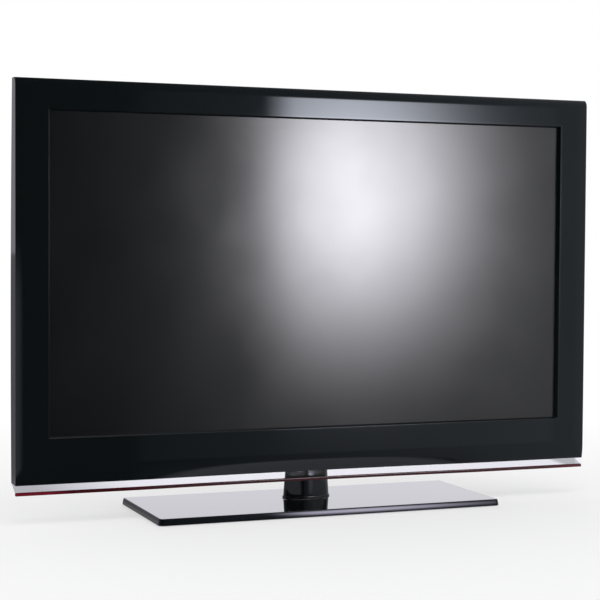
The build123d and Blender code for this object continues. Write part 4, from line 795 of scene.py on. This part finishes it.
def bezel_form(s):
    """Open skin of the bezel: face, rolled edges, side walls and the sloping opening."""
    low, high = BEZEL_LOW, BEZEL_HIGH
    face, half = low.y, high.x
    roll_z = low.z + s.bottom_roll_height
    opening = (low.z + s.bottom_border, high.z - s.top_border)
    opening_x = half - s.side_border
    # Extra rows and columns this far outside the opening keep the face flat there
    margin = 4.0 * MM

    # Each row is (depth of the top roll, depth of the lower roll, height)
    profile = [(s.top_roll_depth * (1 - math.cos(turn)), 0.0,
                high.z - s.top_roll_height * (1 - math.sin(turn)))
               for turn in arc_steps(90, 0, 36)]
    span = opening[1] - opening[0]
    flats = [high.z - s.top_roll_height - margin, opening[1] + margin, opening[1]]
    flats += [opening[1] - span * i / 8 for i in range(1, 8)]
    flats += [opening[0], opening[0] - margin, roll_z + 3.0 * MM]
    profile += [(0.0, 0.0, z) for z in flats]
    for i in range(31):
        drop = (i / 30) ** 1.3
        profile.append((0.0, s.bottom_roll_depth * drop**s.bottom_roll_bend,
                        roll_z - s.bottom_roll_height * drop))

    # Each column is (x, how far the end falls away)
    roll_radius = (s.side_roll_width**2 + s.side_roll_depth**2) / (2 * s.side_roll_depth)
    stations = []
    for i in range(13):
        reach = s.side_roll_width * (1 - (i / 12) ** 1.5)
        stations.append((half - s.side_roll_width + reach,
                         roll_radius - math.sqrt(roll_radius**2 - reach**2)))
    stations += [(opening_x + margin, 0.0), (opening_x, 0.0)]
    stations += [(opening_x * (1 - i / 20), 0.0) for i in range(1, 20)]
    stations = [(-x, d) for x, d in stations] + [(0.0, 0.0)] + stations[::-1]

    def rear(z):
        """Y of the side wall's rear edge at height z."""
        t = (z - low.z) / (high.z - low.z)
        swell = s.rear_middle - (s.rear_bottom + s.rear_top) / 2
        return face + s.rear_bottom * (1 - t) + s.rear_top * t + 4 * swell * t * (1 - t)

    form = bmesh.new()
    grid = [[form.verts.new((x, face + soft_max(top + foot * roll_share(s, x), fall), z))
             for x, fall in stations] for top, foot, z in profile]
    top_rear, foot_rear = ([form.verts.new((x, rear(z), z)) for x, _ in stations]
                           for z in (high.z, low.z))
    left_rear, right_rear = ([form.verts.new((x, rear(z), z)) for *_, z in profile[1:-1]]
                             for x in (-half, half))

    for i in range(len(profile) - 1):
        for j in range(len(stations) - 1):
            middle_x = (stations[j][0] + stations[j + 1][0]) / 2
            middle_z = (profile[i][2] + profile[i + 1][2]) / 2
            if abs(middle_x) >= opening_x or not opening[0] < middle_z < opening[1]:
                form.faces.new((grid[i][j], grid[i][j + 1], grid[i + 1][j + 1], grid[i + 1][j]))
    for edge, back in (
        (grid[0], top_rear),
        (grid[-1], foot_rear),
        ([row[0] for row in grid], [top_rear[0], *left_rear, foot_rear[0]]),
        ([row[-1] for row in grid], [top_rear[-1], *right_rear, foot_rear[-1]]),
    ):
        skin(form, edge, back, closed=False)

    close = 1e-6
    columns = [j for j, (x, _) in enumerate(stations) if abs(x) <= opening_x + close]
    lines = [i for i, (*_, z) in enumerate(profile)
             if opening[0] - close <= z <= opening[1] + close]
    around = [grid[lines[0]][j] for j in columns]
    around += [grid[i][columns[-1]] for i in lines[1:]]
    around += [grid[lines[-1]][j] for j in reversed(columns[:-1])]
    around += [grid[i][columns[0]] for i in reversed(lines[1:-1])]
    middle = Vector((0.0, face, sum(opening) / 2))
    shrink = Vector((1 - s.opening_slope / opening_x, 1.0, 1 - 2 * s.opening_slope / span))
    inner = [form.verts.new(middle + (vert.co - middle) * shrink
                            + Vector((0.0, s.opening_depth, 0.0))) for vert in around]
    skin(form, around, inner)
    return form


class TV_OT_front_bezel(bpy.types.Operator):
    """Glossy moulding with rolled edges and a sloping wall round the screen"""

    bl_idname = "television.front_bezel"
    bl_label = "Front bezel"

    def execute(self, context):
        s = sizes("tv_shell")
        mesh = modified(
            closed_mesh(bezel_form(s), "bezel_shell"),
            ("SOLIDIFY", {"thickness": s.wall, "offset": -1.0, "use_even_offset": True}),
            bevel(s.edge, 3, 38.0))
        mesh = smoothed(kept_inside(mesh, BEZEL_LOW, BEZEL_HIGH), 34.0)
        add_piece("bezel_shell", mesh, "gloss_black", ["front_bezel"])
        return {"FINISHED"}


class TV_OT_trim_strips(bpy.types.Operator):
    """Clear strip under the bezel and the red strip under that"""

    bl_idname = "television.trim_strips"
    bl_label = "Trim strips"

    def execute(self, context):
        s, shell = sizes("tv_trim"), sizes("tv_shell")
        top, foot = BEZEL_LOW.z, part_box("clear_trim")[0].z
        back = BEZEL_LOW.y + shell.rear_bottom - s.setback
        reach = BEZEL_HIGH.x - s.end_inset
        red_low, red_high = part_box("red_trim")
        depth = red_high.y - red_low.y

        def strip(name, outline, edge):
            """Strip whose outline is given for the Y of its front at each x."""
            loops = []
            for x in (reach * (i / 40 - 1) for i in range(81)):
                roll = shell.bottom_roll_depth * roll_share(shell, x)
                loops.append([(x, y, z) for y, z in outline(BEZEL_LOW.y + roll + s.setback)])
            return smoothed(modified(closed_mesh(rings(loops), name), bevel(edge, 3)))

        wedge = strip("clear_strip", lambda y: [
            (y, top), (y, foot), (y + s.clear_foot, foot), (back, top)], s.edge)
        add_piece("clear_strip", wedge, "clear_acrylic", ["clear_trim"])
        band = strip("red_strip", lambda y: [
            (y, red_high.z), (y, red_low.z), (y + depth, red_low.z), (y + depth, red_high.z)],
            3 * s.edge)
        add_piece("red_strip", band, "red_gloss", ["red_trim"])
        return {"FINISHED"}


class TV_OT_screen(bpy.types.Operator):
    """Dark half matt film of the screen"""

    bl_idname = "television.screen"
    bl_label = "Screen"

    def execute(self, context):
        give_finish("lcd_cell", "screen_film")
        return {"FINISHED"}


class TV_OT_neck(bpy.types.Operator):
    """Oval neck cover and its chrome collar"""

    bl_idname = "television.neck"
    bl_label = "Neck"

    def execute(self, context):
        s = sizes("tv_stand")
        centre = (NECK_LOW + NECK_HIGH) / 2

        def oval(low, high, z, inset_x, inset_y):
            """Oval in a box at height z, drawn in by two insets."""
            return ellipse(centre, (high.x - low.x) / 2 - inset_x,
                           (high.y - low.y) / 2 - inset_y, z, 128)

        def loop(z, inset):
            """Oval of the neck, which narrows upward."""
            share = min(1.0, (z - NECK_LOW.z) / s.taper_height)
            return oval(NECK_LOW, NECK_HIGH, z, inset + share * s.taper_width,
                        inset + share * s.taper_depth)

        edge, margin = 0.4 * MM, 4.0 * MM
        heights = [NECK_LOW.z + s.taper_height * i / 12 for i in range(13)]
        heights += [NECK_LOW.z + s.taper_height + margin, NECK_HIGH.z]
        outside = [loop(NECK_LOW.z, edge), loop(NECK_LOW.z + edge, 0.0)]
        outside += [loop(z, 0.0) for z in heights[1:]]
        inside = [loop(z, s.neck_wall) for z in reversed(heights)]
        mesh = closed_mesh(rings(outside + inside, closed=True), "neck_shell")
        add_piece("neck_shell", smoothed(mesh), "gloss_black", ["neck_cover"])

        low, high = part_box("neck_collar")
        shoulder, foot = high.z - s.collar_edge, 0.3 * MM
        rows = [(low.z, s.collar_width), (low.z, foot), (low.z + foot, 0.0), (shoulder, 0.0)]
        rows += [(shoulder + s.collar_edge * math.sin(turn), s.collar_edge * (1 - math.cos(turn)))
                 for turn in arc_steps(15, 90, 5)]
        rows.append((high.z, s.collar_width))
        loops = [oval(low, high, z, inset, inset) for z, inset in rows]
        mesh = closed_mesh(rings(loops, closed=True), "collar_ring")
        add_piece("collar_ring", smoothed(mesh), "dark_chrome", ["neck_collar"])
        return {"FINISHED"}


def bridge_fill(form, outer, inner):
    """Flat face between an outer loop and an inner one, as triangles."""
    edges = []
    for row in (outer, inner):
        for pair in zip(row, row[1:] + row[:1]):
            edges.append(form.edges.get(pair) or form.edges.new(pair))
    bmesh.ops.triangle_fill(form, edges=edges, use_beauty=True)


def fill_round_hole(form, outer, centre, radius, depth):
    """Close a flat loop round a hole and line the hole. Returns the lining's lower loop."""
    upper, lower = ([form.verts.new(point)
                     for point in ellipse(centre, radius, radius, centre.z - drop, 48)]
                    for drop in (0.0, depth))
    bridge_fill(form, outer, upper)
    skin(form, upper, lower)
    return lower


class TV_OT_base(bpy.types.Operator):
    """Glossy base cover with a leaning rim and a hole for the swivel"""

    bl_idname = "television.base"
    bl_label = "Base"

    def execute(self, context):
        s = sizes("tv_stand")
        top, foot = BASE_HIGH.z, BASE_LOW.z
        edge, margin, least_corner = 0.3 * MM, 1.2 * MM, 0.5 * MM

        def loop(z, inset):
            """Rounded outline at height z, drawn in by inset."""
            return rounded_rectangle(BASE_HIGH.x - inset, BASE_HIGH.y - inset,
                                     max(s.base_corner - inset, least_corner), z)

        low_slope, high_slope = math.tan(s.skirt_low), math.tan(s.skirt_high)
        rise = top - s.base_edge - foot - edge
        loops = [loop(foot, edge)]
        for share in (step / 8 for step in range(9)):
            lean = low_slope * share + (high_slope - low_slope) * share**2 / 2
            loops.append(loop(foot + edge + rise * share, rise * lean))
        reach = rise * (low_slope + high_slope) / 2
        radius = s.base_edge / (1 - math.sin(s.skirt_high))
        for turn in arc_steps(math.degrees(s.skirt_high), 90, 8)[1:]:
            loops.append(loop(top - radius * (1 - math.sin(turn)),
                              reach + radius * (math.cos(s.skirt_high) - math.cos(turn))))
        inner = reach + radius * math.cos(s.skirt_high) + margin
        loops.append(loop(top, inner))

        form = rings(loops, caps=False)
        form.verts.ensure_lookup_table()
        count = len(loops[0])
        first, last = form.verts[:count], form.verts[-count:]
        swivel = Vector((0.0, (NECK_LOW.y + NECK_HIGH.y) / 2, top))
        hole = fill_round_hole(form, last, swivel, s.pivot_hole, s.base_wall)
        inside, roof = ([form.verts.new(point) for point in points] for points in (
            loop(foot, edge + s.base_wall), loop(top - s.base_wall, inner + s.base_wall)))
        skin(form, first, inside)
        skin(form, inside, roof)
        bridge_fill(form, roof, hole)
        mesh = smoothed(closed_mesh(form, "base_shell"), 40.0)
        # Painted shade: the rim gets a dimmed copy of the gloss, and the flat top gets the lacquer
        piece = add_piece("base_shell", mesh, "rim_black", ["base_cover"], "base")
        piece.data.materials.append(finish("lacquer_black"))
        # The flat top has the clear lacquer
        for face in piece.data.polygons:
            if face.normal.z > 0.99:
                face.material_index = 1
        return {"FINISHED"}


class TV_OT_feet(bpy.types.Operator):
    """Rubber feet with grip rings"""

    bl_idname = "television.feet"
    bl_label = "Feet"

    def execute(self, context):
        s = sizes("tv_stand")
        low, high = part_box("base_feet")
        radius, bore, groove, rim = s.foot_radius, 1.0 * MM, 0.5 * MM, 0.6 * MM
        first_ring, next_ring = 0.25 * radius, 0.22 * radius
        profile = [(bore, groove)]
        for inner in (first_ring + next_ring * i for i in range(s.foot_rings)):
            profile += [(inner, groove), (inner + 0.3 * MM, 0.0), (inner + 1.3 * MM, 0.0),
                        (inner + 1.6 * MM, groove)]
        profile += [(radius - 1.6 * MM, groove), (radius - 1.4 * MM, 0.0), (radius - rim, 0.0),
                    (radius, rim), (radius, high.z), (bore, high.z)]
        forms = [lathe(profile, (x, y, 0.0), (0, 0, 1), 40)
                 for x in (low.x + radius, 0.0, high.x - radius)
                 for y in (low.y + radius, high.y - radius)]
        add_forms("grip_feet", "rubber", forms, ["base_feet"], "base")
        return {"FINISHED"}


class TV_OT_screws(bpy.types.Operator):
    """Cross recess screws of the rear cover, the stand and the base"""

    bl_idname = "television.screws"
    bl_label = "Screws"

    def execute(self, context):
        recess = sizes("tv_detail").screw_recess
        for node, body, turn, head, shank in (
            ("cover_screws", "head", TO_BACK, 2.4 * MM, 1.5 * MM),
            ("stand_screws", "head", TO_BACK, 3.0 * MM, 2.5 * MM),
            ("base_screws", "base", TO_FLOOR, 1.8 * MM, 1.5 * MM),
        ):
            spots = []
            for low, high in islands(node):
                spot = (low + high) / 2
                if turn == TO_BACK:
                    spot.y, length = high.y - head, high.y - low.y
                else:
                    spot.z, length = low.z + head, high.z - low.z
                spots.append(spot)
                width = high.x - low.x
            name = node.replace("screws", "fixings")
            mesh = on_spots("screws", spots, name, "black_oxide", turn,
                            Head_Radius=width / 2, Head_Height=head, Recess=recess,
                            Shank_Radius=shank, Shank_Length=length - head)
            add_piece(name, mesh, "black_oxide", [node], body)
        return {"FINISHED"}


class TV_OT_picture_sockets(bpy.types.Operator):
    """Tongues and contacts of the digital sockets, flange and posts of the PC socket"""

    bl_idname = "television.picture_sockets"
    bl_label = "Picture sockets"

    def execute(self, context):
        width = sizes("tv_detail").contact_width
        tongues, contacts = [], []
        for low, high in islands("hdmi_sockets"):
            middle = (low + high) / 2
            tongues.append((middle.x, high.y - 7.1 * MM, middle.z))
            for side, count in ((0.73 * MM, 10), (-0.73 * MM, 9)):
                for i in range(count):
                    shift = (i - (count - 1) / 2) * 2 * width
                    contacts.append((middle.x + shift, high.y - 6.9 * MM, middle.z + side))
        add_bars("digital_tongues", "tongue_plastic", tongues,
                 (10.8 * MM, 5.4 * MM, 1.4 * MM))
        add_bars("digital_contacts", "gold_contact", contacts,
                 (width, 4.4 * MM, 0.1 * MM))

        middle = middle_and_high("pc_socket")[0]
        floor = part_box("connector_plate")[1].y
        mesh = on_spots("bars", [(middle.x, floor + 0.5 * MM, middle.z)], "pc_flange", "nickel",
                        Bar_Size=(31.0 * MM, 1.0 * MM, 12.4 * MM))
        mesh = smoothed(modified(mesh, bevel(0.3 * MM)))
        add_piece("pc_flange", mesh, "nickel")
        posts = [(middle.x + side * 12.4 * MM, floor + 3.2 * MM, middle.z) for side in (-1, 1)]
        mesh = on_spots("pins", posts, "pc_posts", "nickel", TO_BACK, Radius=2.4 * MM,
                        Length=5.0 * MM)
        add_piece("pc_posts", mesh, "nickel")
        return {"FINISHED"}


# From left to right as seen from the front
PHONO_COLOURS = ["phono_green", "phono_blue", "phono_red", "phono_white", "phono_red"]


class TV_OT_sound_sockets(bpy.types.Operator):
    """Coloured collars of the phono sockets, and rings of the aerial and headphone sockets"""

    bl_idname = "television.sound_sockets"
    bl_label = "Sound sockets"

    def execute(self, context):
        s = sizes("tv_detail")
        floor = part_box("connector_plate")[1].y
        back = (0, 1, 0)
        inner, outer = s.phono_barrel, s.phono_barrel + s.collar_reach
        profile = [(inner, 0.0), (outer, 0.0), (outer, 1.9 * MM), (outer - 0.4 * MM, 2.3 * MM),
                   (inner, 2.3 * MM)]
        for i, (box, paint) in enumerate(zip(islands("phono_sockets"), PHONO_COLOURS), 1):
            middle = sum(box, Vector()) / 2
            collar = lathe(profile, (middle.x, floor, middle.z), back, 40)
            face = washer(1.65 * MM, 3.3 * MM, 0.12 * MM, (middle.x, box[1].y, middle.z), back,
                          40)
            add_forms(f"phono_collar_{i}", paint, [collar, face])

        middle, high = middle_and_high("aerial_socket")
        spot = (middle.x, high.y, middle.z)
        disc = washer(1.5 * MM, 3.7 * MM, 0.1 * MM, spot, back)
        add_forms("aerial_disc", "tongue_plastic", [disc])
        pin = washer(0.7 * MM, 1.4 * MM, 0.5 * MM, spot, back)
        add_forms("aerial_pin", "gold_contact", [pin])

        middle, high = middle_and_high("headphone_socket")
        ring = lathe([(1.85 * MM, 0.0), (3.0 * MM, 0.0), (2.8 * MM, 0.2 * MM),
                      (1.85 * MM, 0.2 * MM)], (high.x, middle.y, middle.z), (1, 0, 0), 40)
        add_forms("headphone_ring", "nickel", [ring])
        return {"FINISHED"}


class TV_OT_side_socket(bpy.types.Operator):
    """Tongue and contacts of the side socket"""

    bl_idname = "television.side_socket"
    bl_label = "Side socket"

    def execute(self, context):
        middle, high = middle_and_high("usb_socket")
        x, y, z = high.x - 6.85 * MM, middle.y + 0.8 * MM, middle.z
        add_bars("usb_tongue", "tongue_white", [(x, y, z)],
                 (4.5 * MM, 1.8 * MM, 10.4 * MM))
        spots = [(x + 0.1 * MM, y - 0.92 * MM, z + shift * MM) for shift in (-3.5, -1, 1, 3.5)]
        add_bars("usb_contacts", "gold_contact", spots,
                 (3.9 * MM, 0.12 * MM, 1.0 * MM))
        return {"FINISHED"}


# Strokes of each key's mark: across, up and length in mm, lean in degrees
KEY_MARKS = {
    "power": [(0.0, 1.5, 2.0, 90)],
    "source": [(-1.6, 0.0, 2.6, 90), (0.0, 1.3, 3.2, 0), (0.0, -1.3, 3.2, 0), (1.6, 0.0, 2.6, 90)],
    "menu": [(0.0, 1.3, 3.4, 0), (0.0, 0.0, 3.4, 0), (0.0, -1.3, 3.4, 0)],
    "volume_down": [(0.0, 0.0, 3.4, 0)],
    "volume_up": [(0.0, 0.0, 3.4, 0), (0.0, 0.0, 3.4, 90)],
    "channel_down": [(-0.95, 0.0, 2.6, -38), (0.95, 0.0, 2.6, 38)],
    "channel_up": [(-0.95, 0.0, 2.6, 38), (0.95, 0.0, 2.6, -38)],
}


def softened_copy(node, name, width):
    """Merged copy of a CAD node's mesh with its edges rounded."""
    form = merged(node)
    bmesh.ops.dissolve_limit(form, angle_limit=math.radians(1.0), verts=form.verts,
                             edges=form.edges)
    return smoothed(modified(as_mesh(form, name), bevel(width, 3)))


class TV_OT_side_keys(bpy.types.Operator):
    """Seven soft edged key caps with plain marks"""

    bl_idname = "television.side_keys"
    bl_label = "Side keys"

    def execute(self, context):
        s = sizes("tv_detail")
        for key, strokes in KEY_MARKS.items():
            node, cap, mark = (f"{key}_{word}" for word in ("button", "cap", "mark"))
            body = f"{node}_body"
            add_piece(cap, softened_copy(node, cap, s.key_edge), "key_satin",
                      [node], body)
            middle, high = middle_and_high(node)
            x, y, z = high.x, middle.y, middle.z
            forms = []
            for across, up, length, lean in strokes:
                bar = on_spots("bars", [(x, y + across * MM, z + up * MM)], mark, "mark_ink",
                               (math.radians(lean), 0.0, 0.0),
                               Bar_Size=(2 * s.mark_rise, length * MM, s.mark_line))
                forms.append(as_form(bar))
            if key == "power":
                forms.append(washer(s.power_ring, s.power_ring + s.mark_line, 2 * s.mark_rise,
                                    (x - s.mark_rise, y, z), (1, 0, 0), 36))
            add_forms(mark, "mark_ink", forms, body=body)
        return {"FINISHED"}


class TV_OT_inner_parts(bpy.types.Operator):
    """Finishes of the parts inside"""

    bl_idname = "television.inner_parts"
    bl_label = "Inner parts"

    def execute(self, context):
        for paint, nodes in NODE_FINISHES.items():
            for node in nodes:
                give_finish(node, paint)
        return {"FINISHED"}


# The stage

def stage_mesh(name, points, material):
    """Stage object of one face."""
    mesh = bpy.data.meshes.new(name)
    mesh.from_pydata(points, [], [list(range(len(points)))])
    mesh.materials.append(material)
    thing = shown(name, mesh)
    return thing


def by_bounce(tree, path, first, later):
    """One value at the first bounce off gloss, at depth 1, and another at later ones."""
    return spread(tree, path["Glossy Depth"], first, later, 1.2, 1.8)


def add_floor(s):
    """Pale floor that keeps the shadow by the object and runs into white further away.

    Gloss sees it as the end of a table: dark in front, white behind.
    """
    material = bpy.data.materials.new("floor_paint")
    tree, surface = empty_tree(material, "ShaderNodeOutputMaterial")
    path = add_node(tree, "ShaderNodeLightPath").outputs
    place = add_node(tree, "ShaderNodeTexCoord").outputs["Object"]
    axes = add_node(tree, "ShaderNodeSeparateXYZ", place).outputs
    distance = add_node(tree, "ShaderNodeVectorMath", place, setup={"operation": "LENGTH"})
    # Where each tone starts to change and where it ends, in metres from the middle
    fade, table_back, table_side = (0.3, 1.4), (0.12, 0.5), (-0.3, 0.3)
    trim_left, trim_right = (-0.34, -0.16), (0.856, 0.876)

    far = spread(tree, distance.outputs["Value"], 0.55, 1.0, *fade)
    paint = add_node(tree, "ShaderNodeBsdfDiffuse", Color=s.floor_colour).outputs["BSDF"]
    seen = mixed(tree, value_of(tree, "MULTIPLY", far, path["Is Camera Ray"]), paint,
                 glow_shader(tree, "ShaderNodeEmission", WHITE, 1.0))
    front = spread(tree, axes["Y"], 1.0, 0.0, *table_back)
    side = spread(tree, axes["X"], 0.2, 1.0, *table_side)
    mirrored = mixed(tree, front, glow_shader(tree, "ShaderNodeEmission", s.tint, side),
                     add_node(tree, "ShaderNodeBsdfTransparent").outputs["BSDF"])
    seen = mixed(tree, path["Is Glossy Ray"], seen, mirrored)
    through = value_of(tree, "MINIMUM", spread(tree, axes["X"], s.through, 1.0, *trim_left),
                       spread(tree, axes["X"], 1.0, s.through, *trim_right))
    seen = mixed(tree, path["Is Transmission Ray"], seen,
                 glow_shader(tree, "ShaderNodeEmission", s.tint, through))
    feed(tree, surface, seen)
    stage_mesh("floor", ellipse((0.0, 0.0), s.floor_radius, s.floor_radius, 0.0, 72), material)


def add_world(scene, s):
    """White room for the eye. Gloss sees it white behind, dark in front and bright overhead."""
    scene.world = bpy.data.worlds.new("studio")
    tree, surface = empty_tree(scene.world, "ShaderNodeOutputWorld")
    path = add_node(tree, "ShaderNodeLightPath").outputs
    axes = axes_of(tree, "Generated")
    across, away, up = axes["X"], axes["Y"], axes["Z"]

    # The last two numbers say where a tone starts to change and where it ends, as parts of
    # a direction of length 1
    behind = value_of(tree, "MULTIPLY", spread(tree, away, 0.0, 1.0, -0.25, 0.25),
                      spread(tree, value_of(tree, "ABSOLUTE", up), 1.0, 0.0, 0.2, 0.4))
    back = value_of(tree, "MULTIPLY", behind, spread(tree, across, 0.42, 1.0, -0.25, 0.2))
    left = value_of(tree, "MULTIPLY", spread(tree, across, 0.5, 0.0, -0.05, 0.08),
                    spread(tree, up, 1.0, 0.0, -0.035, 0.0))
    sides = value_of(tree, "MAXIMUM", spread(tree, across, 0.04, 0.5, 0.25, 0.55), left)
    front = value_of(tree, "MULTIPLY", value_of(tree, "SUBTRACT", 1.0, behind), sides)
    overhead = value_of(tree, "MULTIPLY", spread(tree, up, 0.0, s.ceiling, 0.55, 0.68),
                        by_bounce(tree, path, 0.0, 1.0))
    level = value_of(tree, "MAXIMUM", value_of(tree, "ADD", back, front), overhead)

    def backdrop(colour, strength):
        """Background of one colour."""
        return glow_shader(tree, "ShaderNodeBackground", colour, strength)

    direct = value_of(tree, "MAXIMUM", path["Is Camera Ray"], path["Is Transmission Ray"])
    inside = mixed(tree, path["Is Glossy Ray"], backdrop(WHITE, s.room), backdrop(s.tint, level))
    feed(tree, surface, mixed(tree, direct, inside, backdrop(WHITE, 1.0)))


def add_softbox(s):
    """Upright softbox in front to the right, with a soft bright core."""
    material = bpy.data.materials.new("softbox_cloth")
    tree, surface = empty_tree(material, "ShaderNodeOutputMaterial")
    path = add_node(tree, "ShaderNodeLightPath").outputs
    axes = axes_of(tree)

    def squared(value, centre, reach):
        """Square of the distance from the core's middle in units of its reach."""
        share = value_of(tree, "DIVIDE", value_of(tree, "SUBTRACT", value, centre), reach)
        return value_of(tree, "MULTIPLY", share, share)

    square = value_of(tree, "ADD", squared(axes["X"], s.core_place[0], s.core_reach[0]),
                      squared(axes["Z"], s.core_place[1], s.core_reach[1]))
    fall = value_of(tree, "POWER", math.exp(-1), value_of(tree, "POWER", square, s.core_fall))
    core = value_of(tree, "MULTIPLY", fall, spread(tree, axes["X"], 0.0, s.core, *s.core_edge))
    panel = spread(tree, axes["X"], s.panel_left, s.panel_right, s.box_left, s.box_right)
    level = value_of(tree, "ADD", panel,
                     value_of(tree, "MULTIPLY", core, by_bounce(tree, path, 1.0, 0.0)))
    feed(tree, surface, glow_shader(tree, "ShaderNodeEmission", s.tint, level))
    corners = [(s.box_left, s.box_bottom), (s.box_right, s.box_bottom),
               (s.box_right, s.box_top), (s.box_left, s.box_top)]
    box = stage_mesh("softbox", [(x, -s.box_distance, z) for x, z in corners], material)
    box.visible_camera = False


def add_lamps():
    """Overhead and side lamps that light the object evenly."""
    for name, place, aim, width, height, power in (
        ("overhead_lamp", (0.2, -0.6, 2.6), (0.0, 0.0, 0.2), 2.6, 2.0, 24.0),
        ("left_lamp", (-2.6, 0.3, 1.3), (0.0, 0.0, 0.4), 1.6, 1.6, 16.0),
        ("rear_lamp", (0.8, 2.8, 1.6), (0.0, 0.0, 0.4), 1.8, 1.6, 18.0),
    ):
        data = bpy.data.lights.new(name, "AREA")
        data.shape = "RECTANGLE"
        data.size, data.size_y, data.energy = width, height, power
        lamp = shown(name, data)
        lamp.location = place
        lamp.rotation_euler = (Vector(aim) - Vector(place)).to_track_quat("-Z", "Y").to_euler()
        lamp.visible_glossy = lamp.visible_camera = False


def add_camera(scene, s):
    """Camera at the photograph's viewing angle."""
    data = bpy.data.cameras.new("camera")
    data.lens, data.sensor_width = s.focal, 36.0
    data.clip_start, data.clip_end = 0.05, 200.0
    back = Vector((math.sin(s.azimuth) * math.cos(s.elevation),
                   -math.cos(s.azimuth) * math.cos(s.elevation), math.sin(s.elevation)))
    right = (-back).cross(Vector((0.0, 0.0, 1.0))).normalized()
    up = back.cross(right)
    turn = Matrix((right * math.cos(s.roll) + up * math.sin(s.roll),
                   up * math.cos(s.roll) - right * math.sin(s.roll), back)).transposed()
    camera = shown("camera", data)
    camera.matrix_world = Matrix.Translation(s.place) @ turn.to_4x4()
    scene.camera = camera


class TV_OT_stage(bpy.types.Operator):
    """Pale floor, soft studio light and the camera"""

    bl_idname = "television.stage"
    bl_label = "Stage"

    def execute(self, context):
        s = sizes("tv_stage")
        context.scene.view_settings.view_transform = "Standard"
        add_floor(s)
        add_world(context.scene, s)
        add_softbox(s)
        add_lamps()
        add_camera(context.scene, s)
        return {"FINISHED"}


OPERATORS = [
    TV_OT_inner_parts,
    TV_OT_screen,
    TV_OT_front_bezel,
    TV_OT_trim_strips,
    TV_OT_neck,
    TV_OT_base,
    TV_OT_feet,
    TV_OT_screws,
    TV_OT_picture_sockets,
    TV_OT_sound_sockets,
    TV_OT_side_socket,
    TV_OT_side_keys,
    TV_OT_stage,
]


class TV_PT_television(bpy.types.Panel):
    """Lists the pieces of the television and their sizes."""

    bl_label = "Television"
    bl_idname = "TV_PT_television"
    bl_space_type = "VIEW_3D"
    bl_region_type = "UI"
    bl_category = "Television"

    def draw(self, context):
        for operator in OPERATORS:
            self.layout.operator(operator.bl_idname)
        for group, kind in SIZE_GROUPS.items():
            box = self.layout.box()
            box.label(text=kind.__name__)
            for setting in kind.__annotations__:
                box.prop(getattr(context.scene, group), setting)


CLASSES = [*SIZE_GROUPS.values(), *OPERATORS, TV_PT_television]


def register():
    """Add the classes and the settings."""
    for kind in CLASSES:
        bpy.utils.register_class(kind)
    for group, kind in SIZE_GROUPS.items():
        setattr(bpy.types.Scene, group, bpy.props.PointerProperty(type=kind))


def unregister():
    """Remove the settings and the classes."""
    for group in SIZE_GROUPS:
        delattr(bpy.types.Scene, group)
    for kind in reversed(CLASSES):
        bpy.utils.unregister_class(kind)


def main():
    """Build every piece in order."""
    register()
    for operator in OPERATORS:
        group, name = operator.bl_idname.split(".")
        getattr(getattr(bpy.ops, group), name)()


if __name__ == "__main__":
    main()
